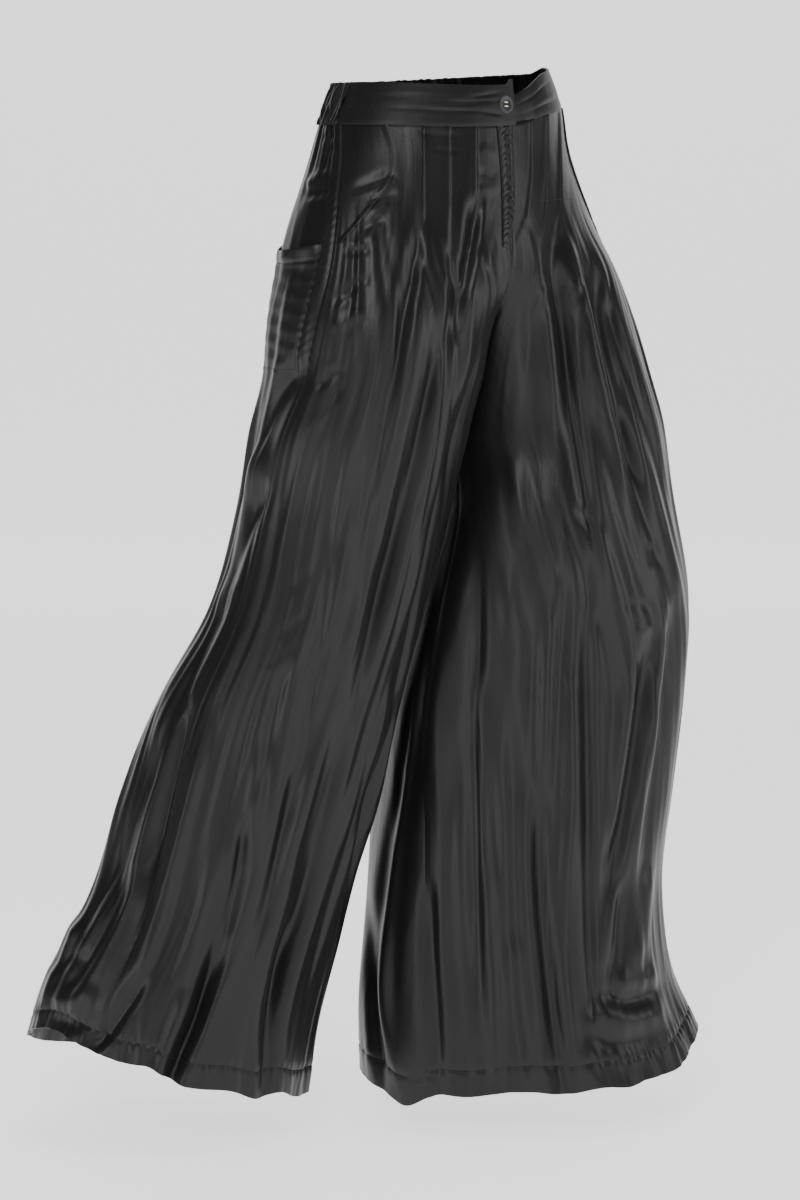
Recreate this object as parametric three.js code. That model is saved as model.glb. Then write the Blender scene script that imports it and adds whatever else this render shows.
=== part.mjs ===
// Wide-leg pleated trousers as hollow walls of cloth, filled out in a stride.
// Millimetres, +Z up. The front faces -Y, the garment's left is +X. The origin is the middle of the waist.
import * as THREE from "three";

// Cloth and seams
const CLOTH = 1.5; // wall of one panel
const DOUBLE_CLOTH = 2.2; // waistband, hem and other pieces that are folded double
const SEAM_GAP = 0.3;
const SEAM_INSET = 0.2; // each panel stops this far short of the seam line
const LAID_ON = 0.85; // clear space under a piece that lies on a panel

// Waistband
const BAND_HEIGHT = 40;
const BAND_TOP = { wide: 119, deep: 97 };
const BAND_BOTTOM = { wide: 139, deep: 101 };
const FRONT_DIP = 9; // the waist is this much lower at the centre front
const WAIST_TILT = 0.06; // and rises towards the left by this share of the distance
const DIP_FADES_BY = -150;
const LAP_END = 13; // the right band's end, past the centre front
const UNDERLAP = 24; // the left band's end, past the centre front under the right band
const SINKS = { before: 14, over: 8 }; // degrees before the lap where it starts to sink, and over which it does
const BUTTON = { radius: 9, thick: 2.8, bevel: 0.6, hole: 1.1, holesApart: 2.1, sides: 12 };

// Heights
const WAIST_SEAM = -BAND_HEIGHT / 2;
const CROTCH = -345;
const HEM = -1022;
const HEM_HEIGHT = 26;

// The folds and the stride are laid out as seen along this direction, turned from the front.
const VIEW_TURN = THREE.MathUtils.degToRad(-40);
const VIEW_ACROSS = new THREE.Vector2(Math.cos(VIEW_TURN), Math.sin(VIEW_TURN));
const VIEW_AWAY = new THREE.Vector2(-Math.sin(VIEW_TURN), Math.cos(VIEW_TURN));

// Sections through each half, from the waist seam to the hem. x and y are the middle, wide and deep the half
// sizes, turn the way that the section is turned, twist how far the side seam has moved to the front, fork the
// angle from the side at which the cloth turns in between the legs, and open the angle at which the row ends:
// 90 is straight ahead, at the centre seam, and 180 is the inseam.
const SECTIONS = {
  right: [
    { height: -20, x: 0, y: 0, wide: 139, deep: 101, turn: 0, twist: 4, fork: 84, open: 90 },
    { height: -60, x: 0, y: 0, wide: 155, deep: 104, turn: 0, twist: 12, fork: 84, open: 90 },
    { height: -123, x: -4, y: 0, wide: 178, deep: 108, turn: 0, twist: 20, fork: 86, open: 92 },
    { height: -175, x: -30, y: 0, wide: 166, deep: 112, turn: 0, twist: 22, fork: 100, open: 108 },
    { height: -228, x: -76, y: 0, wide: 127, deep: 110, turn: 0, twist: 19, fork: 130, open: 142 },
    { height: -290, x: -92, y: 3, wide: 114, deep: 110, turn: -4, twist: 13, fork: 142, open: 164 },
    { height: CROTCH, x: -103, y: 12, wide: 113, deep: 110, turn: -8, twist: 8, fork: 150, open: 180 },
    { height: -425, x: -109, y: 28, wide: 113, deep: 111, turn: -20, twist: 5, fork: 148, open: 180 },
    { height: -530, x: -129, y: 46, wide: 116, deep: 112, turn: -30, twist: 8, fork: 144, open: 180 },
    { height: -630, x: -155, y: 73, wide: 132, deep: 113, turn: -38, twist: 12, fork: 134, open: 180 },
    { height: -735, x: -178, y: 95, wide: 139, deep: 115, turn: -40, twist: 16, fork: 126, open: 180 },
    { height: -840, x: -202, y: 118, wide: 136, deep: 118, turn: -40, twist: 20, fork: 124, open: 180 },
    { height: -945, x: -232, y: 146, wide: 145, deep: 124, turn: -40, twist: 23, fork: 124, open: 180 },
    { height: HEM, x: -245, y: 156, wide: 148, deep: 128, turn: -40, twist: 25, fork: 124, open: 180 },
  ],
  left: [
    { height: -20, x: 0, y: 0, wide: 139, deep: 101, turn: 0, twist: 4, fork: 84, open: 90 },
    { height: -60, x: 0, y: 0, wide: 152, deep: 104, turn: 0, twist: 12, fork: 84, open: 90 },
    { height: -123, x: 20, y: 0, wide: 162, deep: 110, turn: 0, twist: 20, fork: 86, open: 92 },
    { height: -175, x: 66, y: -4, wide: 142, deep: 114, turn: 0, twist: 22, fork: 98, open: 108 },
    { height: -228, x: 97, y: -8, wide: 130, deep: 119, turn: 0, twist: 19, fork: 126, open: 142 },
    { height: -290, x: 116, y: -17, wide: 123, deep: 124, turn: -4, twist: 13, fork: 142, open: 164 },
    { height: CROTCH, x: 128, y: -20, wide: 127, deep: 129, turn: -8, twist: 8, fork: 148, open: 180 },
    { height: -425, x: 126, y: -29, wide: 135, deep: 128, turn: -20, twist: -1, fork: 144, open: 180 },
    { height: -530, x: 115, y: -31, wide: 160, deep: 125, turn: -30, twist: -6, fork: 134, open: 180 },
    { height: -630, x: 97, y: -23, wide: 172, deep: 123, turn: -38, twist: -9, fork: 124, open: 180 },
    { height: -735, x: 92, y: -21, wide: 166, deep: 124, turn: -40, twist: -12, fork: 124, open: 180 },
    { height: -840, x: 86, y: -18, wide: 161, deep: 126, turn: -40, twist: -14, fork: 124, open: 180 },
    { height: -945, x: 88, y: -20, wide: 169, deep: 130, turn: -40, twist: -14, fork: 124, open: 180 },
    { height: HEM, x: 100, y: -30, wide: 181, deep: 134, turn: -40, twist: -14, fork: 124, open: 180 },
  ],
};
const TWIST_SPREADS_OVER = 150; // below the crotch the twist spreads from the side seam to the whole leg
const FORK_SHARE = 0.8; // the share of a row's columns that lies before its fork

// How far the hem's edge is above (+) or below (-) HEM, by the angle round the leg from the side seam.
const HEM_EDGE = {
  right: [
    { angle: -180, rise: -22 },
    { angle: -90, rise: 20 },
    { angle: -30, rise: 62 },
    { angle: 0, rise: 44 },
    { angle: 40, rise: 14 },
    { angle: 90, rise: -12 },
    { angle: 140, rise: -26 },
    { angle: 180, rise: -22 },
  ],
  left: [
    { angle: -180, rise: -30 },
    { angle: -90, rise: -4 },
    { angle: -20, rise: 24 },
    { angle: 20, rise: 46 },
    { angle: 50, rise: 30 },
    { angle: 90, rise: -2 },
    { angle: 140, rise: -10 },
    { angle: 180, rise: -30 },
  ],
};
const HEM_TILT_POWER = 5; // the hem's slope dies away this fast towards the waist

// Folds of the cloth. near is true on the side that faces the view. The fold runs from top to bottom through
// three distances across the view: high, mid and low. depth is the trough, width its half width.
const FOLDS = [
  { leg: "right", near: true, top: -120, bottom: -640, high: -22, mid: -58, low: -96, depth: 9, width: 13 },
  { leg: "right", near: true, top: -125, bottom: -700, high: 8, mid: -10, low: -98, depth: 17, width: 11 },
  { leg: "right", near: true, top: -660, bottom: -980, high: -100, mid: -145, low: -216, depth: 20, width: 15 },
  { leg: "right", near: true, top: -150, bottom: -620, high: 34, mid: 10, low: -42, depth: 9, width: 8 },
  { leg: "right", near: true, top: -620, bottom: -1060, high: -48, mid: -92, low: -163, depth: 12, width: 9 },
  { leg: "right", near: true, top: -640, bottom: -1060, high: -214, mid: -268, low: -326, depth: 15, width: 13 },
  { leg: "right", near: true, top: -800, bottom: -1060, high: -196, mid: -232, low: -282, depth: 11, width: 10 },
  { leg: "right", near: true, top: -240, bottom: -700, high: -150, mid: -190, low: -262, depth: 8, width: 13 },
  { leg: "left", near: true, top: -120, bottom: -470, high: 60, mid: 57, low: 48, depth: 8, width: 8 },
  { leg: "left", near: true, top: -130, bottom: -620, high: 98, mid: 118, low: 150, depth: 9, width: 11 },
  { leg: "left", near: true, top: -110, bottom: -520, high: 130, mid: 168, low: 206, depth: 9, width: 11 },
  { leg: "left", near: true, top: -480, bottom: -1060, high: 134, mid: 112, low: 138, depth: 14, width: 9 },
  { leg: "left", near: true, top: -520, bottom: -960, high: 150, mid: 158, low: 157, depth: 15, width: 8 },
  { leg: "left", near: true, top: -520, bottom: -900, high: 214, mid: 205, low: 168, depth: 11, width: 11 },
  { leg: "left", near: true, top: -690, bottom: -930, high: 54, mid: 60, low: 66, depth: 8, width: 9 },
  { leg: "left", near: true, top: -560, bottom: -1060, high: 2, mid: -16, low: 4, depth: 9, width: 10 },
  { leg: "left", near: true, top: -500, bottom: -860, high: 244, mid: 232, low: 214, depth: 8, width: 9 },
  { leg: "right", near: false, top: -170, bottom: -1060, high: -60, mid: -110, low: -180, depth: 14, width: 15 },
  { leg: "right", near: false, top: -200, bottom: -1060, high: -110, mid: -180, low: -270, depth: 15, width: 15 },
  { leg: "right", near: false, top: -420, bottom: -1060, high: -140, mid: -215, low: -345, depth: 11, width: 13 },
  { leg: "right", near: false, top: -190, bottom: -700, high: -20, mid: -50, low: -120, depth: 11, width: 13 },
  { leg: "left", near: false, top: -170, bottom: -1060, high: 70, mid: 60, low: 50, depth: 14, width: 15 },
  { leg: "left", near: false, top: -180, bottom: -1060, high: 130, mid: 140, low: 130, depth: 15, width: 15 },
  { leg: "left", near: false, top: -420, bottom: -1060, high: 180, mid: 195, low: 205, depth: 12, width: 13 },
  { leg: "left", near: false, top: -480, bottom: -1060, high: 10, mid: -10, low: -20, depth: 11, width: 13 },
];
const FOLD_TAPER = 130; // a fold grows to its full depth over this length
const SHOULDER = 0.45; // the cloth stands proud beside a trough by this share of its depth
const CENTRE_CALM = 0.14; // folds die away over this share of a row
const CALM_PAST_FORK = 0.06; // and are gone this share past the fork
const EDGE_CALM = 0.35; // folds are whole where the cloth faces the view by this much, as a cosine
const PULL_FROM = 0.6; // the rows are drawn together at the centre seam from this share on

// Knife pleats, stitched down below the waistband. edge is each pleat's edge, as a distance across the view.
const PLEATS = [
  { leg: "right", edge: -17, width: 22 },
  { leg: "right", edge: 9, width: 22 },
  { leg: "right", edge: 36, width: 22 },
  { leg: "left", edge: 90, width: 13 },
  { leg: "left", edge: 106, width: 13 },
  { leg: "left", edge: 121, width: 13 },
];
const PLEAT = { rise: 3, length: 90, release: 60 };

// Grids
const FRONT_COLUMNS = 32;
const BACK_COLUMNS = 28;
const TORSO_ROWS = 10;
const LEG_ROWS = 12;

const LEGS_APART = { crotch: 1.6, below: 6, over: 55, hem: 16 }; // from each leg to the plane between them
const LEGS_SOFTEN = 7; // how softly it turns in along that plane
const SEAM_OPENS_OVER = 35; // the inner sides draw apart over this height, below the crotch
const LEGS_PART_OVER = 90; // the plane swings to the stride over this height, below the crotch

// Fly, pockets
const FLY = { width: 18, length: 128, rows: 10, columns: 4, out: 1.0 };
const WELT = { width: 9, rows: 14, below: 1, start: 0.225, foot: 0.015, bulge: 0.1, length: 128 };
// The back pocket is about 120 wide and 130 high, in the panel's own columns and rows so that it lies true.
const BACK_POCKET = { nearColumn: 1, farColumn: 11, topRow: 4, bottomRow: 8 };

// Gathers of the back
const GATHERS = { waves: 7, depth: 2, fadesBy: -130 };

const smooth = (t) => THREE.MathUtils.smoothstep(t, 0, 1);
const sideSign = (leg) => (leg === "left" ? 1 : -1);
const otherLeg = (leg) => (leg === "left" ? "right" : "left");

// A column of a table at a position between its rows, on a smooth curve through them.
function read(table, by, column, at) {
  const down = table[1][by] < table[0][by];
  let i = 0;
  while (i < table.length - 2 && (down ? at < table[i + 1][by] : at > table[i + 1][by])) i += 1;
  const row = (k) => table[THREE.MathUtils.clamp(k, 0, table.length - 1)];
  const slope = (k) => {
    const span = row(k + 1)[by] - row(k - 1)[by];
    return (row(k + 1)[column] - row(k - 1)[column]) / span;
  };
  const span = row(i + 1)[by] - row(i)[by];
  const t = THREE.MathUtils.clamp((at - row(i)[by]) / span, 0, 1);
  const [start, end] = [row(i)[column], row(i + 1)[column]];
  const [out, back] = [slope(i) * span, slope(i + 1) * span];
  const t2 = t * t;
  const t3 = t2 * t;
  const ends = start * (2 * t3 - 3 * t2 + 1) + end * (3 * t2 - 2 * t3);
  return ends + out * (t3 - 2 * t2 + t) + back * (t3 - t2);
}

// The section of a half at a height.
function section(leg, height) {
  const s = {};
  for (const column of ["x", "y", "wide", "deep", "turn", "twist", "fork", "open"]) {
    s[column] = read(SECTIONS[leg], "height", column, height);
  }
  s.open = Math.min(180, s.open);
  return s;
}

// The angle from the side seam at a share of a row, with the columns set evenly on each side of the fork.
function angleAt(s, across) {
  if (across < FORK_SHARE) return (s.fork * across) / FORK_SHARE;
  return THREE.MathUtils.lerp(s.fork, s.open, (across - FORK_SHARE) / (1 - FORK_SHARE));
}

// The point of a section at an angle from the side, positive towards the front, and its outward direction.
function around(leg, s, angle) {
  const m = sideSign(leg);
  const a = THREE.MathUtils.degToRad(angle + m * s.turn);
  const turn = THREE.MathUtils.degToRad(s.turn);
  const along = new THREE.Vector2(Math.cos(turn), Math.sin(turn));
  const over = new THREE.Vector2(-Math.sin(turn), Math.cos(turn));
  const point = new THREE.Vector2(s.x, s.y)
    .addScaledVector(along, m * s.wide * Math.cos(a))
    .addScaledVector(over, -s.deep * Math.sin(a));
  const out = new THREE.Vector2()
    .addScaledVector(along, m * s.deep * Math.cos(a))
    .addScaledVector(over, -s.wide * Math.sin(a))
    .normalize();
  return { point, out };
}

// The plane between the legs, as a point on it and the direction across it from one leg to the other.
function between(leg, height) {
  const own = section(leg, height);
  const other = section(otherLeg(leg), height);
  const from = new THREE.Vector2(own.x, own.y);
  const towards = new THREE.Vector2(other.x, other.y).sub(from);
  const middle = from.addScaledVector(towards, own.wide / (own.wide + other.wide));
  const parted = smooth((CROTCH - height) / LEGS_PART_OVER);
  const direction = new THREE.Vector2(-sideSign(leg), 0).lerp(towards.normalize(), parted).normalize();
  middle.x *= parted;
  return { middle, direction };
}

// Holds a half back from the plane between the legs, softly where it turns inwards.
function heldBack(leg, point, height) {
  const { middle, direction } = between(leg, height);
  const down = smooth((CROTCH - height) / (CROTCH - HEM));
  const below = THREE.MathUtils.lerp(LEGS_APART.below, LEGS_APART.hem, down);
  const apart = THREE.MathUtils.lerp(LEGS_APART.crotch, below, smooth((CROTCH - height) / LEGS_APART.over));
  const past = point.clone().sub(middle).dot(direction) + apart;
  const allowed = -LEGS_SOFTEN * Math.log1p(Math.exp(-past / LEGS_SOFTEN));
  return point.clone().addScaledVector(direction, allowed - past);
}

// How far the centre end of a row is moved so that both halves meet in one seam. Below the crotch it dies away.
function seamPull(leg, face, height) {
  const level = Math.max(height, CROTCH);
  const ends = [leg, otherLeg(leg)].map((l) => {
    const s = section(l, level);
    return heldBack(l, around(l, s, face === "front" ? s.open : -s.open).point, level);
  });
  const fades = 1 - smooth((CROTCH - height) / LEGS_PART_OVER);
  return new THREE.Vector2(-ends[0].x, (ends[1].y - ends[0].y) / 2).multiplyScalar(fades);
}

function foldDepth(leg, near, across, height) {
  let depth = 0;
  for (const f of FOLDS) {
    if (f.leg !== leg || f.near !== near || height > f.top || height < f.bottom - FOLD_TAPER) continue;
    const t = THREE.MathUtils.clamp((height - f.top) / (f.bottom - f.top), 0, 1);
    const line = f.high * (1 - t) * (1 - 2 * t) + 4 * f.mid * t * (1 - t) + f.low * t * (2 * t - 1);
    const x = (across - line) / f.width;
    const started = smooth((f.top - height) / FOLD_TAPER);
    const left = smooth((height - f.bottom + FOLD_TAPER) / FOLD_TAPER);
    depth -= f.depth * started * left * (1 - SHOULDER * x * x) * Math.exp((-x * x) / 2);
  }
  return depth;
}

// Gathers of the back, along the waistband.
function gatherRise(across, height) {
  const fade = smooth((height - GATHERS.fadesBy) / (WAIST_SEAM - GATHERS.fadesBy));
  return GATHERS.depth * Math.sin(Math.min(1, across / FORK_SHARE) * 2 * Math.PI * GATHERS.waves) * fade;
}

function pleatRise(leg, across, height) {
  const fade = 1 - smooth((WAIST_SEAM - PLEAT.length - height) / PLEAT.release);
  let rise = 0;
  for (const pleat of PLEATS) {
    if (pleat.leg !== leg) continue;
    const inside = (pleat.edge - across) * -sideSign(leg);
    if (inside > 0 && inside < pleat.width) rise = PLEAT.rise * (1 - inside / pleat.width) * fade;
  }
  return rise;
}

// How far the waist is raised or sunk at a point and height, where it dips in front and rises to the left.
function waistLift(x, angle, height) {
  const fade = smooth((height - DIP_FADES_BY) / (WAIST_SEAM - DIP_FADES_BY));
  return (WAIST_TILT * x - FRONT_DIP * Math.max(0, Math.sin(THREE.MathUtils.degToRad(angle))) ** 2) * fade;
}

// A point of the cloth's outer face. face is "front" or "back", across runs from the side seam (0) to the
// centre seam or inseam (1), and height is the row's own height before the hem's slope.
function onCloth(leg, face, across, height) {
  const s = section(leg, height);
  const m = sideSign(leg);
  const turned = angleAt(s, across) * (face === "front" ? 1 : -1);
  const spread = smooth((CROTCH - height) / TWIST_SPREADS_OVER);
  const angle = turned + s.twist * THREE.MathUtils.lerp((1 - across) ** 2, 1, spread);
  const { point: free, out } = around(leg, s, angle);
  const hem = read(HEM_EDGE[leg], "angle", "rise", turned);
  const z = height + hem * (height / HEM) ** HEM_TILT_POWER + waistLift(free.x, angle, height);
  const facing = -out.dot(VIEW_AWAY);
  const acrossView = free.dot(VIEW_ACROSS);
  const calm = smooth((FORK_SHARE + CALM_PAST_FORK - across) / CENTRE_CALM);
  let lift = foldDepth(leg, facing > 0, acrossView, z) * smooth(Math.abs(facing) / EDGE_CALM) * calm;
  if (face === "front") lift += pleatRise(leg, acrossView, z);
  else lift += gatherRise(across, height);
  free.addScaledVector(out, lift);
  const pull = seamPull(leg, face, height).multiplyScalar(smooth((across - PULL_FROM) / (1 - PULL_FROM)));
  free.y += pull.y;
  const point = heldBack(leg, free, height);
  point.x += pull.x * (1 - smooth((CROTCH - height) / SEAM_OPENS_OVER));
  return new THREE.Vector3(point.x + m * SEAM_INSET, point.y, z);
}

// A closed wall whose outer face is given by point(u, v), u and v from 0 to 1. outward is 1 or -1, for the
// side on which the outer face lies. square is "x" or "y" where the ends stand square to that axis. Top and
// bottom are cut level.
function wall(point, { columns, rows, thick, outward, wraps = false, square = null }) {
  const step = 1e-3;
  const outer = [];
  const inner = [];
  const across = wraps ? columns : columns + 1;
  for (let j = 0; j <= rows; j += 1) {
    for (let i = 0; i < across; i += 1) {
      const u = i / columns;
      const v = j / rows;
      const p = point(u, v);
      const u0 = wraps ? u - step : Math.max(0, u - step);
      const u1 = wraps ? u + step : Math.min(1, u + step);
      const du = point(u1, v).sub(point(u0, v));
      const dv = point(u, Math.min(1, v + step)).sub(point(u, Math.max(0, v - step)));
      const normal = du.cross(dv).multiplyScalar(outward);
      if (square && (u === 0 || u === 1)) normal[square] = 0;
      if (j === 0 || j === rows) normal.z = 0;
      normal.normalize();
      outer.push(p);
      inner.push(p.clone().addScaledVector(normal, -thick));
    }
  }
  const points = [...outer, ...inner];
  const index = [];
  const quad = (a, b, c, d) => index.push(...(outward > 0 ? [a, b, c, a, c, d] : [a, c, b, a, d, c]));
  const at = (i, j, layer) => layer * outer.length + j * across + (wraps ? i % columns : i);
  for (let j = 0; j < rows; j += 1) {
    for (let i = 0; i < columns; i += 1) {
      quad(at(i, j, 0), at(i + 1, j, 0), at(i + 1, j + 1, 0), at(i, j + 1, 0));
      quad(at(i, j, 1), at(i, j + 1, 1), at(i + 1, j + 1, 1), at(i + 1, j, 1));
    }
  }
  for (let i = 0; i < columns; i += 1) {
    quad(at(i, 0, 1), at(i + 1, 0, 1), at(i + 1, 0, 0), at(i, 0, 0));
    quad(at(i, rows, 0), at(i + 1, rows, 0), at(i + 1, rows, 1), at(i, rows, 1));
  }
  for (let j = 0; j < rows && !wraps; j += 1) {
    quad(at(0, j, 0), at(0, j + 1, 0), at(0, j + 1, 1), at(0, j, 1));
    quad(at(columns, j, 1), at(columns, j + 1, 1), at(columns, j + 1, 0), at(columns, j, 0));
  }
  const geometry = new THREE.BufferGeometry();
  const coordinates = points.flatMap((p) => p.toArray());
  geometry.setAttribute("position", new THREE.Float32BufferAttribute(coordinates, 3));
  geometry.setIndex(index);
  geometry.computeVertexNormals();
  return geometry;
}

// Length of one row of a panel, from the side seam to its inner end, measured in short steps.
function rowLength(leg, face, height) {
  let length = 0;
  const steps = 12;
  for (let i = 0; i < steps; i += 1) {
    const a = onCloth(leg, face, i / steps, height);
    length += a.distanceTo(onCloth(leg, face, (i + 1) / steps, height));
  }
  return length;
}

const outwardOf = (leg, face) => sideSign(leg) * (face === "front" ? 1 : -1);
const PANEL_TOP = WAIST_SEAM - SEAM_GAP;
const PANEL_BOTTOM = HEM + HEM_HEIGHT + SEAM_GAP;
const PANEL_ROWS = TORSO_ROWS + LEG_ROWS;
const columnsOf = (face) => (face === "front" ? FRONT_COLUMNS : BACK_COLUMNS);

function panelHeight(v) {
  const row = v * PANEL_ROWS;
  if (row <= TORSO_ROWS) return THREE.MathUtils.lerp(PANEL_TOP, CROTCH, row / TORSO_ROWS);
  return THREE.MathUtils.lerp(CROTCH, PANEL_BOTTOM, (row - TORSO_ROWS) / LEG_ROWS);
}

// One of the four leg panels, from the waistband to the top of the hem.
function panel(leg, face) {
  const lengths = new Map();
  const point = (u, v) => {
    const height = panelHeight(v);
    if (!lengths.has(height)) lengths.set(height, rowLength(leg, face, height));
    const inset = SEAM_INSET / lengths.get(height);
    return onCloth(leg, face, inset + u * (1 - 2 * inset), height);
  };
  return wall(point, {
    columns: columnsOf(face),
    rows: PANEL_ROWS,
    thick: CLOTH,
    outward: outwardOf(leg, face),
  });
}

// A point of a panel's faceted outer face, moved out, at a share across and a height above the crotch.
function offPanel(leg, face, across, height, out) {
  const column = across * columnsOf(face);
  const row = ((height - PANEL_TOP) / (CROTCH - PANEL_TOP)) * TORSO_ROWS;
  const i = Math.min(columnsOf(face) - 1, Math.floor(column));
  const j = Math.min(TORSO_ROWS - 1, Math.floor(row));
  const [s, t] = [column - i, row - j];
  const heightOf = (k) => panelHeight(k / PANEL_ROWS);
  const corner = (di, dj) => onCloth(leg, face, (i + di) / columnsOf(face), heightOf(j + dj));
  const [a, c] = [corner(0, 0), corner(1, 1)];
  const b = s >= t ? corner(1, 0) : corner(0, 1);
  const [ab, bc] = [b.clone().sub(a), c.clone().sub(b)];
  const [far, near] = [Math.max(s, t), Math.min(s, t)];
  const normal = ab.clone().cross(bc).multiplyScalar(outwardOf(leg, face) * (s >= t ? 1 : -1)).normalize();
  return a.addScaledVector(ab, far).addScaledVector(bc, near).addScaledVector(normal, out);
}

// The turned-up hem of a leg, a ring of double cloth.
function hem(leg) {
  const columns = FRONT_COLUMNS + BACK_COLUMNS;
  const front = FRONT_COLUMNS / columns;
  const point = (u, v) => {
    const turn = (u + 1) % 1;
    const height = THREE.MathUtils.lerp(HEM + HEM_HEIGHT, HEM, v);
    if (turn <= front) return onCloth(leg, "front", turn / front, height);
    return onCloth(leg, "back", (1 - turn) / (1 - front), height);
  };
  return wall(point, { columns, rows: 1, thick: DOUBLE_CLOTH, outward: sideSign(leg), wraps: true });
}

// A point of the waistband's outer face, at an angle from the garment's left side, positive to the front.
function onBand(angle, height, inwards) {
  const a = THREE.MathUtils.degToRad(angle);
  const share = (height - WAIST_SEAM) / BAND_HEIGHT;
  const wide = THREE.MathUtils.lerp(BAND_BOTTOM.wide, BAND_TOP.wide, share) - inwards;
  const deep = THREE.MathUtils.lerp(BAND_BOTTOM.deep, BAND_TOP.deep, share) - inwards;
  const x = wide * Math.cos(a);
  return new THREE.Vector3(x, -deep * Math.sin(a), height + waistLift(x, angle, WAIST_SEAM));
}

// A stretch of waistband between two angles. under is the angle past which it runs under the other end, and
// gathers the number of waves that an elastic draws it into.
function band(from, to, columns, { under = null, gathers = 0 } = {}) {
  const point = (u, v) => {
    const angle = THREE.MathUtils.lerp(from, to, u);
    const sinks = under === null ? 0 : smooth((angle - under + SINKS.before) / SINKS.over);
    const sunk = sinks * (DOUBLE_CLOTH + SEAM_GAP + LAID_ON);
    const wave = gathers ? GATHERS.depth * Math.sin(2 * Math.PI * gathers * u) : 0;
    return onBand(angle, THREE.MathUtils.lerp(-WAIST_SEAM, WAIST_SEAM, v), sunk - wave);
  };
  return wall(point, { columns, rows: 3, thick: DOUBLE_CLOTH, outward: 1, square: "y" });
}

// A piece that lies on a panel, between two edges that are given along it.
function laidOn(leg, face, edges, { columns, rows }) {
  const point = (u, v) => {
    const { start, end, height } = edges(v);
    return offPanel(leg, face, THREE.MathUtils.lerp(start, end, u), height, LAID_ON + CLOTH);
  };
  return wall(point, { columns, rows, thick: CLOTH, outward: outwardOf(leg, face) });
}

// The slanted opening of a front pocket, edged with a narrow band, from the waistband to the side seam.
function pocketWelt(leg) {
  const edges = (v) => {
    const height = WAIST_SEAM - WELT.below - v * WELT.length;
    const share = WELT.width / rowLength(leg, "front", height);
    const start = WELT.foot + WELT.start * (1 - v ** 3) + WELT.bulge * Math.sin(Math.PI * v) * (1 - v);
    return { start, end: start + share, height };
  };
  return laidOn(leg, "front", edges, { columns: 2, rows: WELT.rows });
}

// A patch pocket on the back panel, just behind the side seam.
function backPocket(leg) {
  const { nearColumn, farColumn, topRow, bottomRow } = BACK_POCKET;
  const edges = (v) => ({
    start: nearColumn / BACK_COLUMNS,
    end: farColumn / BACK_COLUMNS,
    height: panelHeight(THREE.MathUtils.lerp(topRow, bottomRow, v) / PANEL_ROWS),
  });
  return laidOn(leg, "back", edges, { columns: farColumn - nearColumn, rows: bottomRow - topRow });
}

// The fly's placket, a strip down the centre front over both panels.
function fly() {
  const point = (u, v) => {
    const x = (u - 0.5) * FLY.width;
    const height = WAIST_SEAM - SEAM_GAP - v * FLY.length;
    const leg = x < 0 ? "right" : "left";
    const p = offPanel(leg, "front", 1 - Math.abs(x) / rowLength(leg, "front", height), height, 0);
    return new THREE.Vector3(x, p.y - FLY.out - CLOTH, p.z);
  };
  return wall(point, { columns: FLY.columns, rows: FLY.rows, thick: CLOTH, outward: -1 });
}

// The button, a bevelled disc with four holes. Its back is at z = 0 and its face at +Z.
function button() {
  const { radius, thick, bevel, hole, holesApart, sides } = BUTTON;
  const disc = new THREE.Shape().absarc(0, 0, radius - bevel, 0, 2 * Math.PI);
  for (const [x, y] of [[1, 1], [1, -1], [-1, 1], [-1, -1]]) {
    disc.holes.push(new THREE.Path().absarc(x * holesApart, y * holesApart, hole, 0, 2 * Math.PI));
  }
  const solid = new THREE.ExtrudeGeometry(disc, {
    depth: thick - 2 * bevel,
    curveSegments: sides,
    bevelThickness: bevel,
    bevelSize: bevel,
    bevelSegments: 1,
  });
  return solid.translate(0, 0, bevel);
}

const blackCloth = new THREE.MeshStandardMaterial({ color: 0x1b1a1b, roughness: 0.42, metalness: 0 });
const buttonResin = new THREE.MeshStandardMaterial({ color: 0x151515, roughness: 0.35, metalness: 0 });

const trousers = new THREE.Group();

function add(name, geometry, material = blackCloth) {
  const mesh = new THREE.Mesh(geometry, material);
  mesh.name = name;
  trousers.add(mesh);
  return mesh;
}

for (const leg of ["right", "left"]) {
  for (const face of ["front", "back"]) add(`${face}_${leg}`, panel(leg, face));
  add(`hem_${leg}`, hem(leg));
  add(`pocket_welt_${leg}`, pocketWelt(leg));
  add(`back_pocket_${leg}`, backPocket(leg));
}

// Angles of the band's joints, from the garment's left side round the front to the right side.
const angleAtFront = (distance) => 90 + THREE.MathUtils.radToDeg(distance / BAND_BOTTOM.wide);
const jointGap = THREE.MathUtils.radToDeg(SEAM_INSET / BAND_TOP.deep);
const lapEdge = angleAtFront(-LAP_END);
add("band_back", band(180 + jointGap, 360 - jointGap, 8 * GATHERS.waves, { gathers: 2 * GATHERS.waves }));
add("band_right", band(lapEdge, 180 - jointGap, 14));
add("band_left", band(jointGap, angleAtFront(UNDERLAP), 16, { under: lapEdge }));
add("fly_placket", fly());

// The button stands on the lap, in the slope of the band.
const bandSlope = Math.atan((BAND_BOTTOM.deep - BAND_TOP.deep) / BAND_HEIGHT);
const buttonMesh = add("button", button(), buttonResin);
buttonMesh.rotation.x = Math.PI / 2 - bandSlope;
const seat = onBand(90, 0, -SEAM_GAP);
buttonMesh.position.set(seat.x, seat.y, seat.z);

export default trousers;
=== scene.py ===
import math

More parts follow.
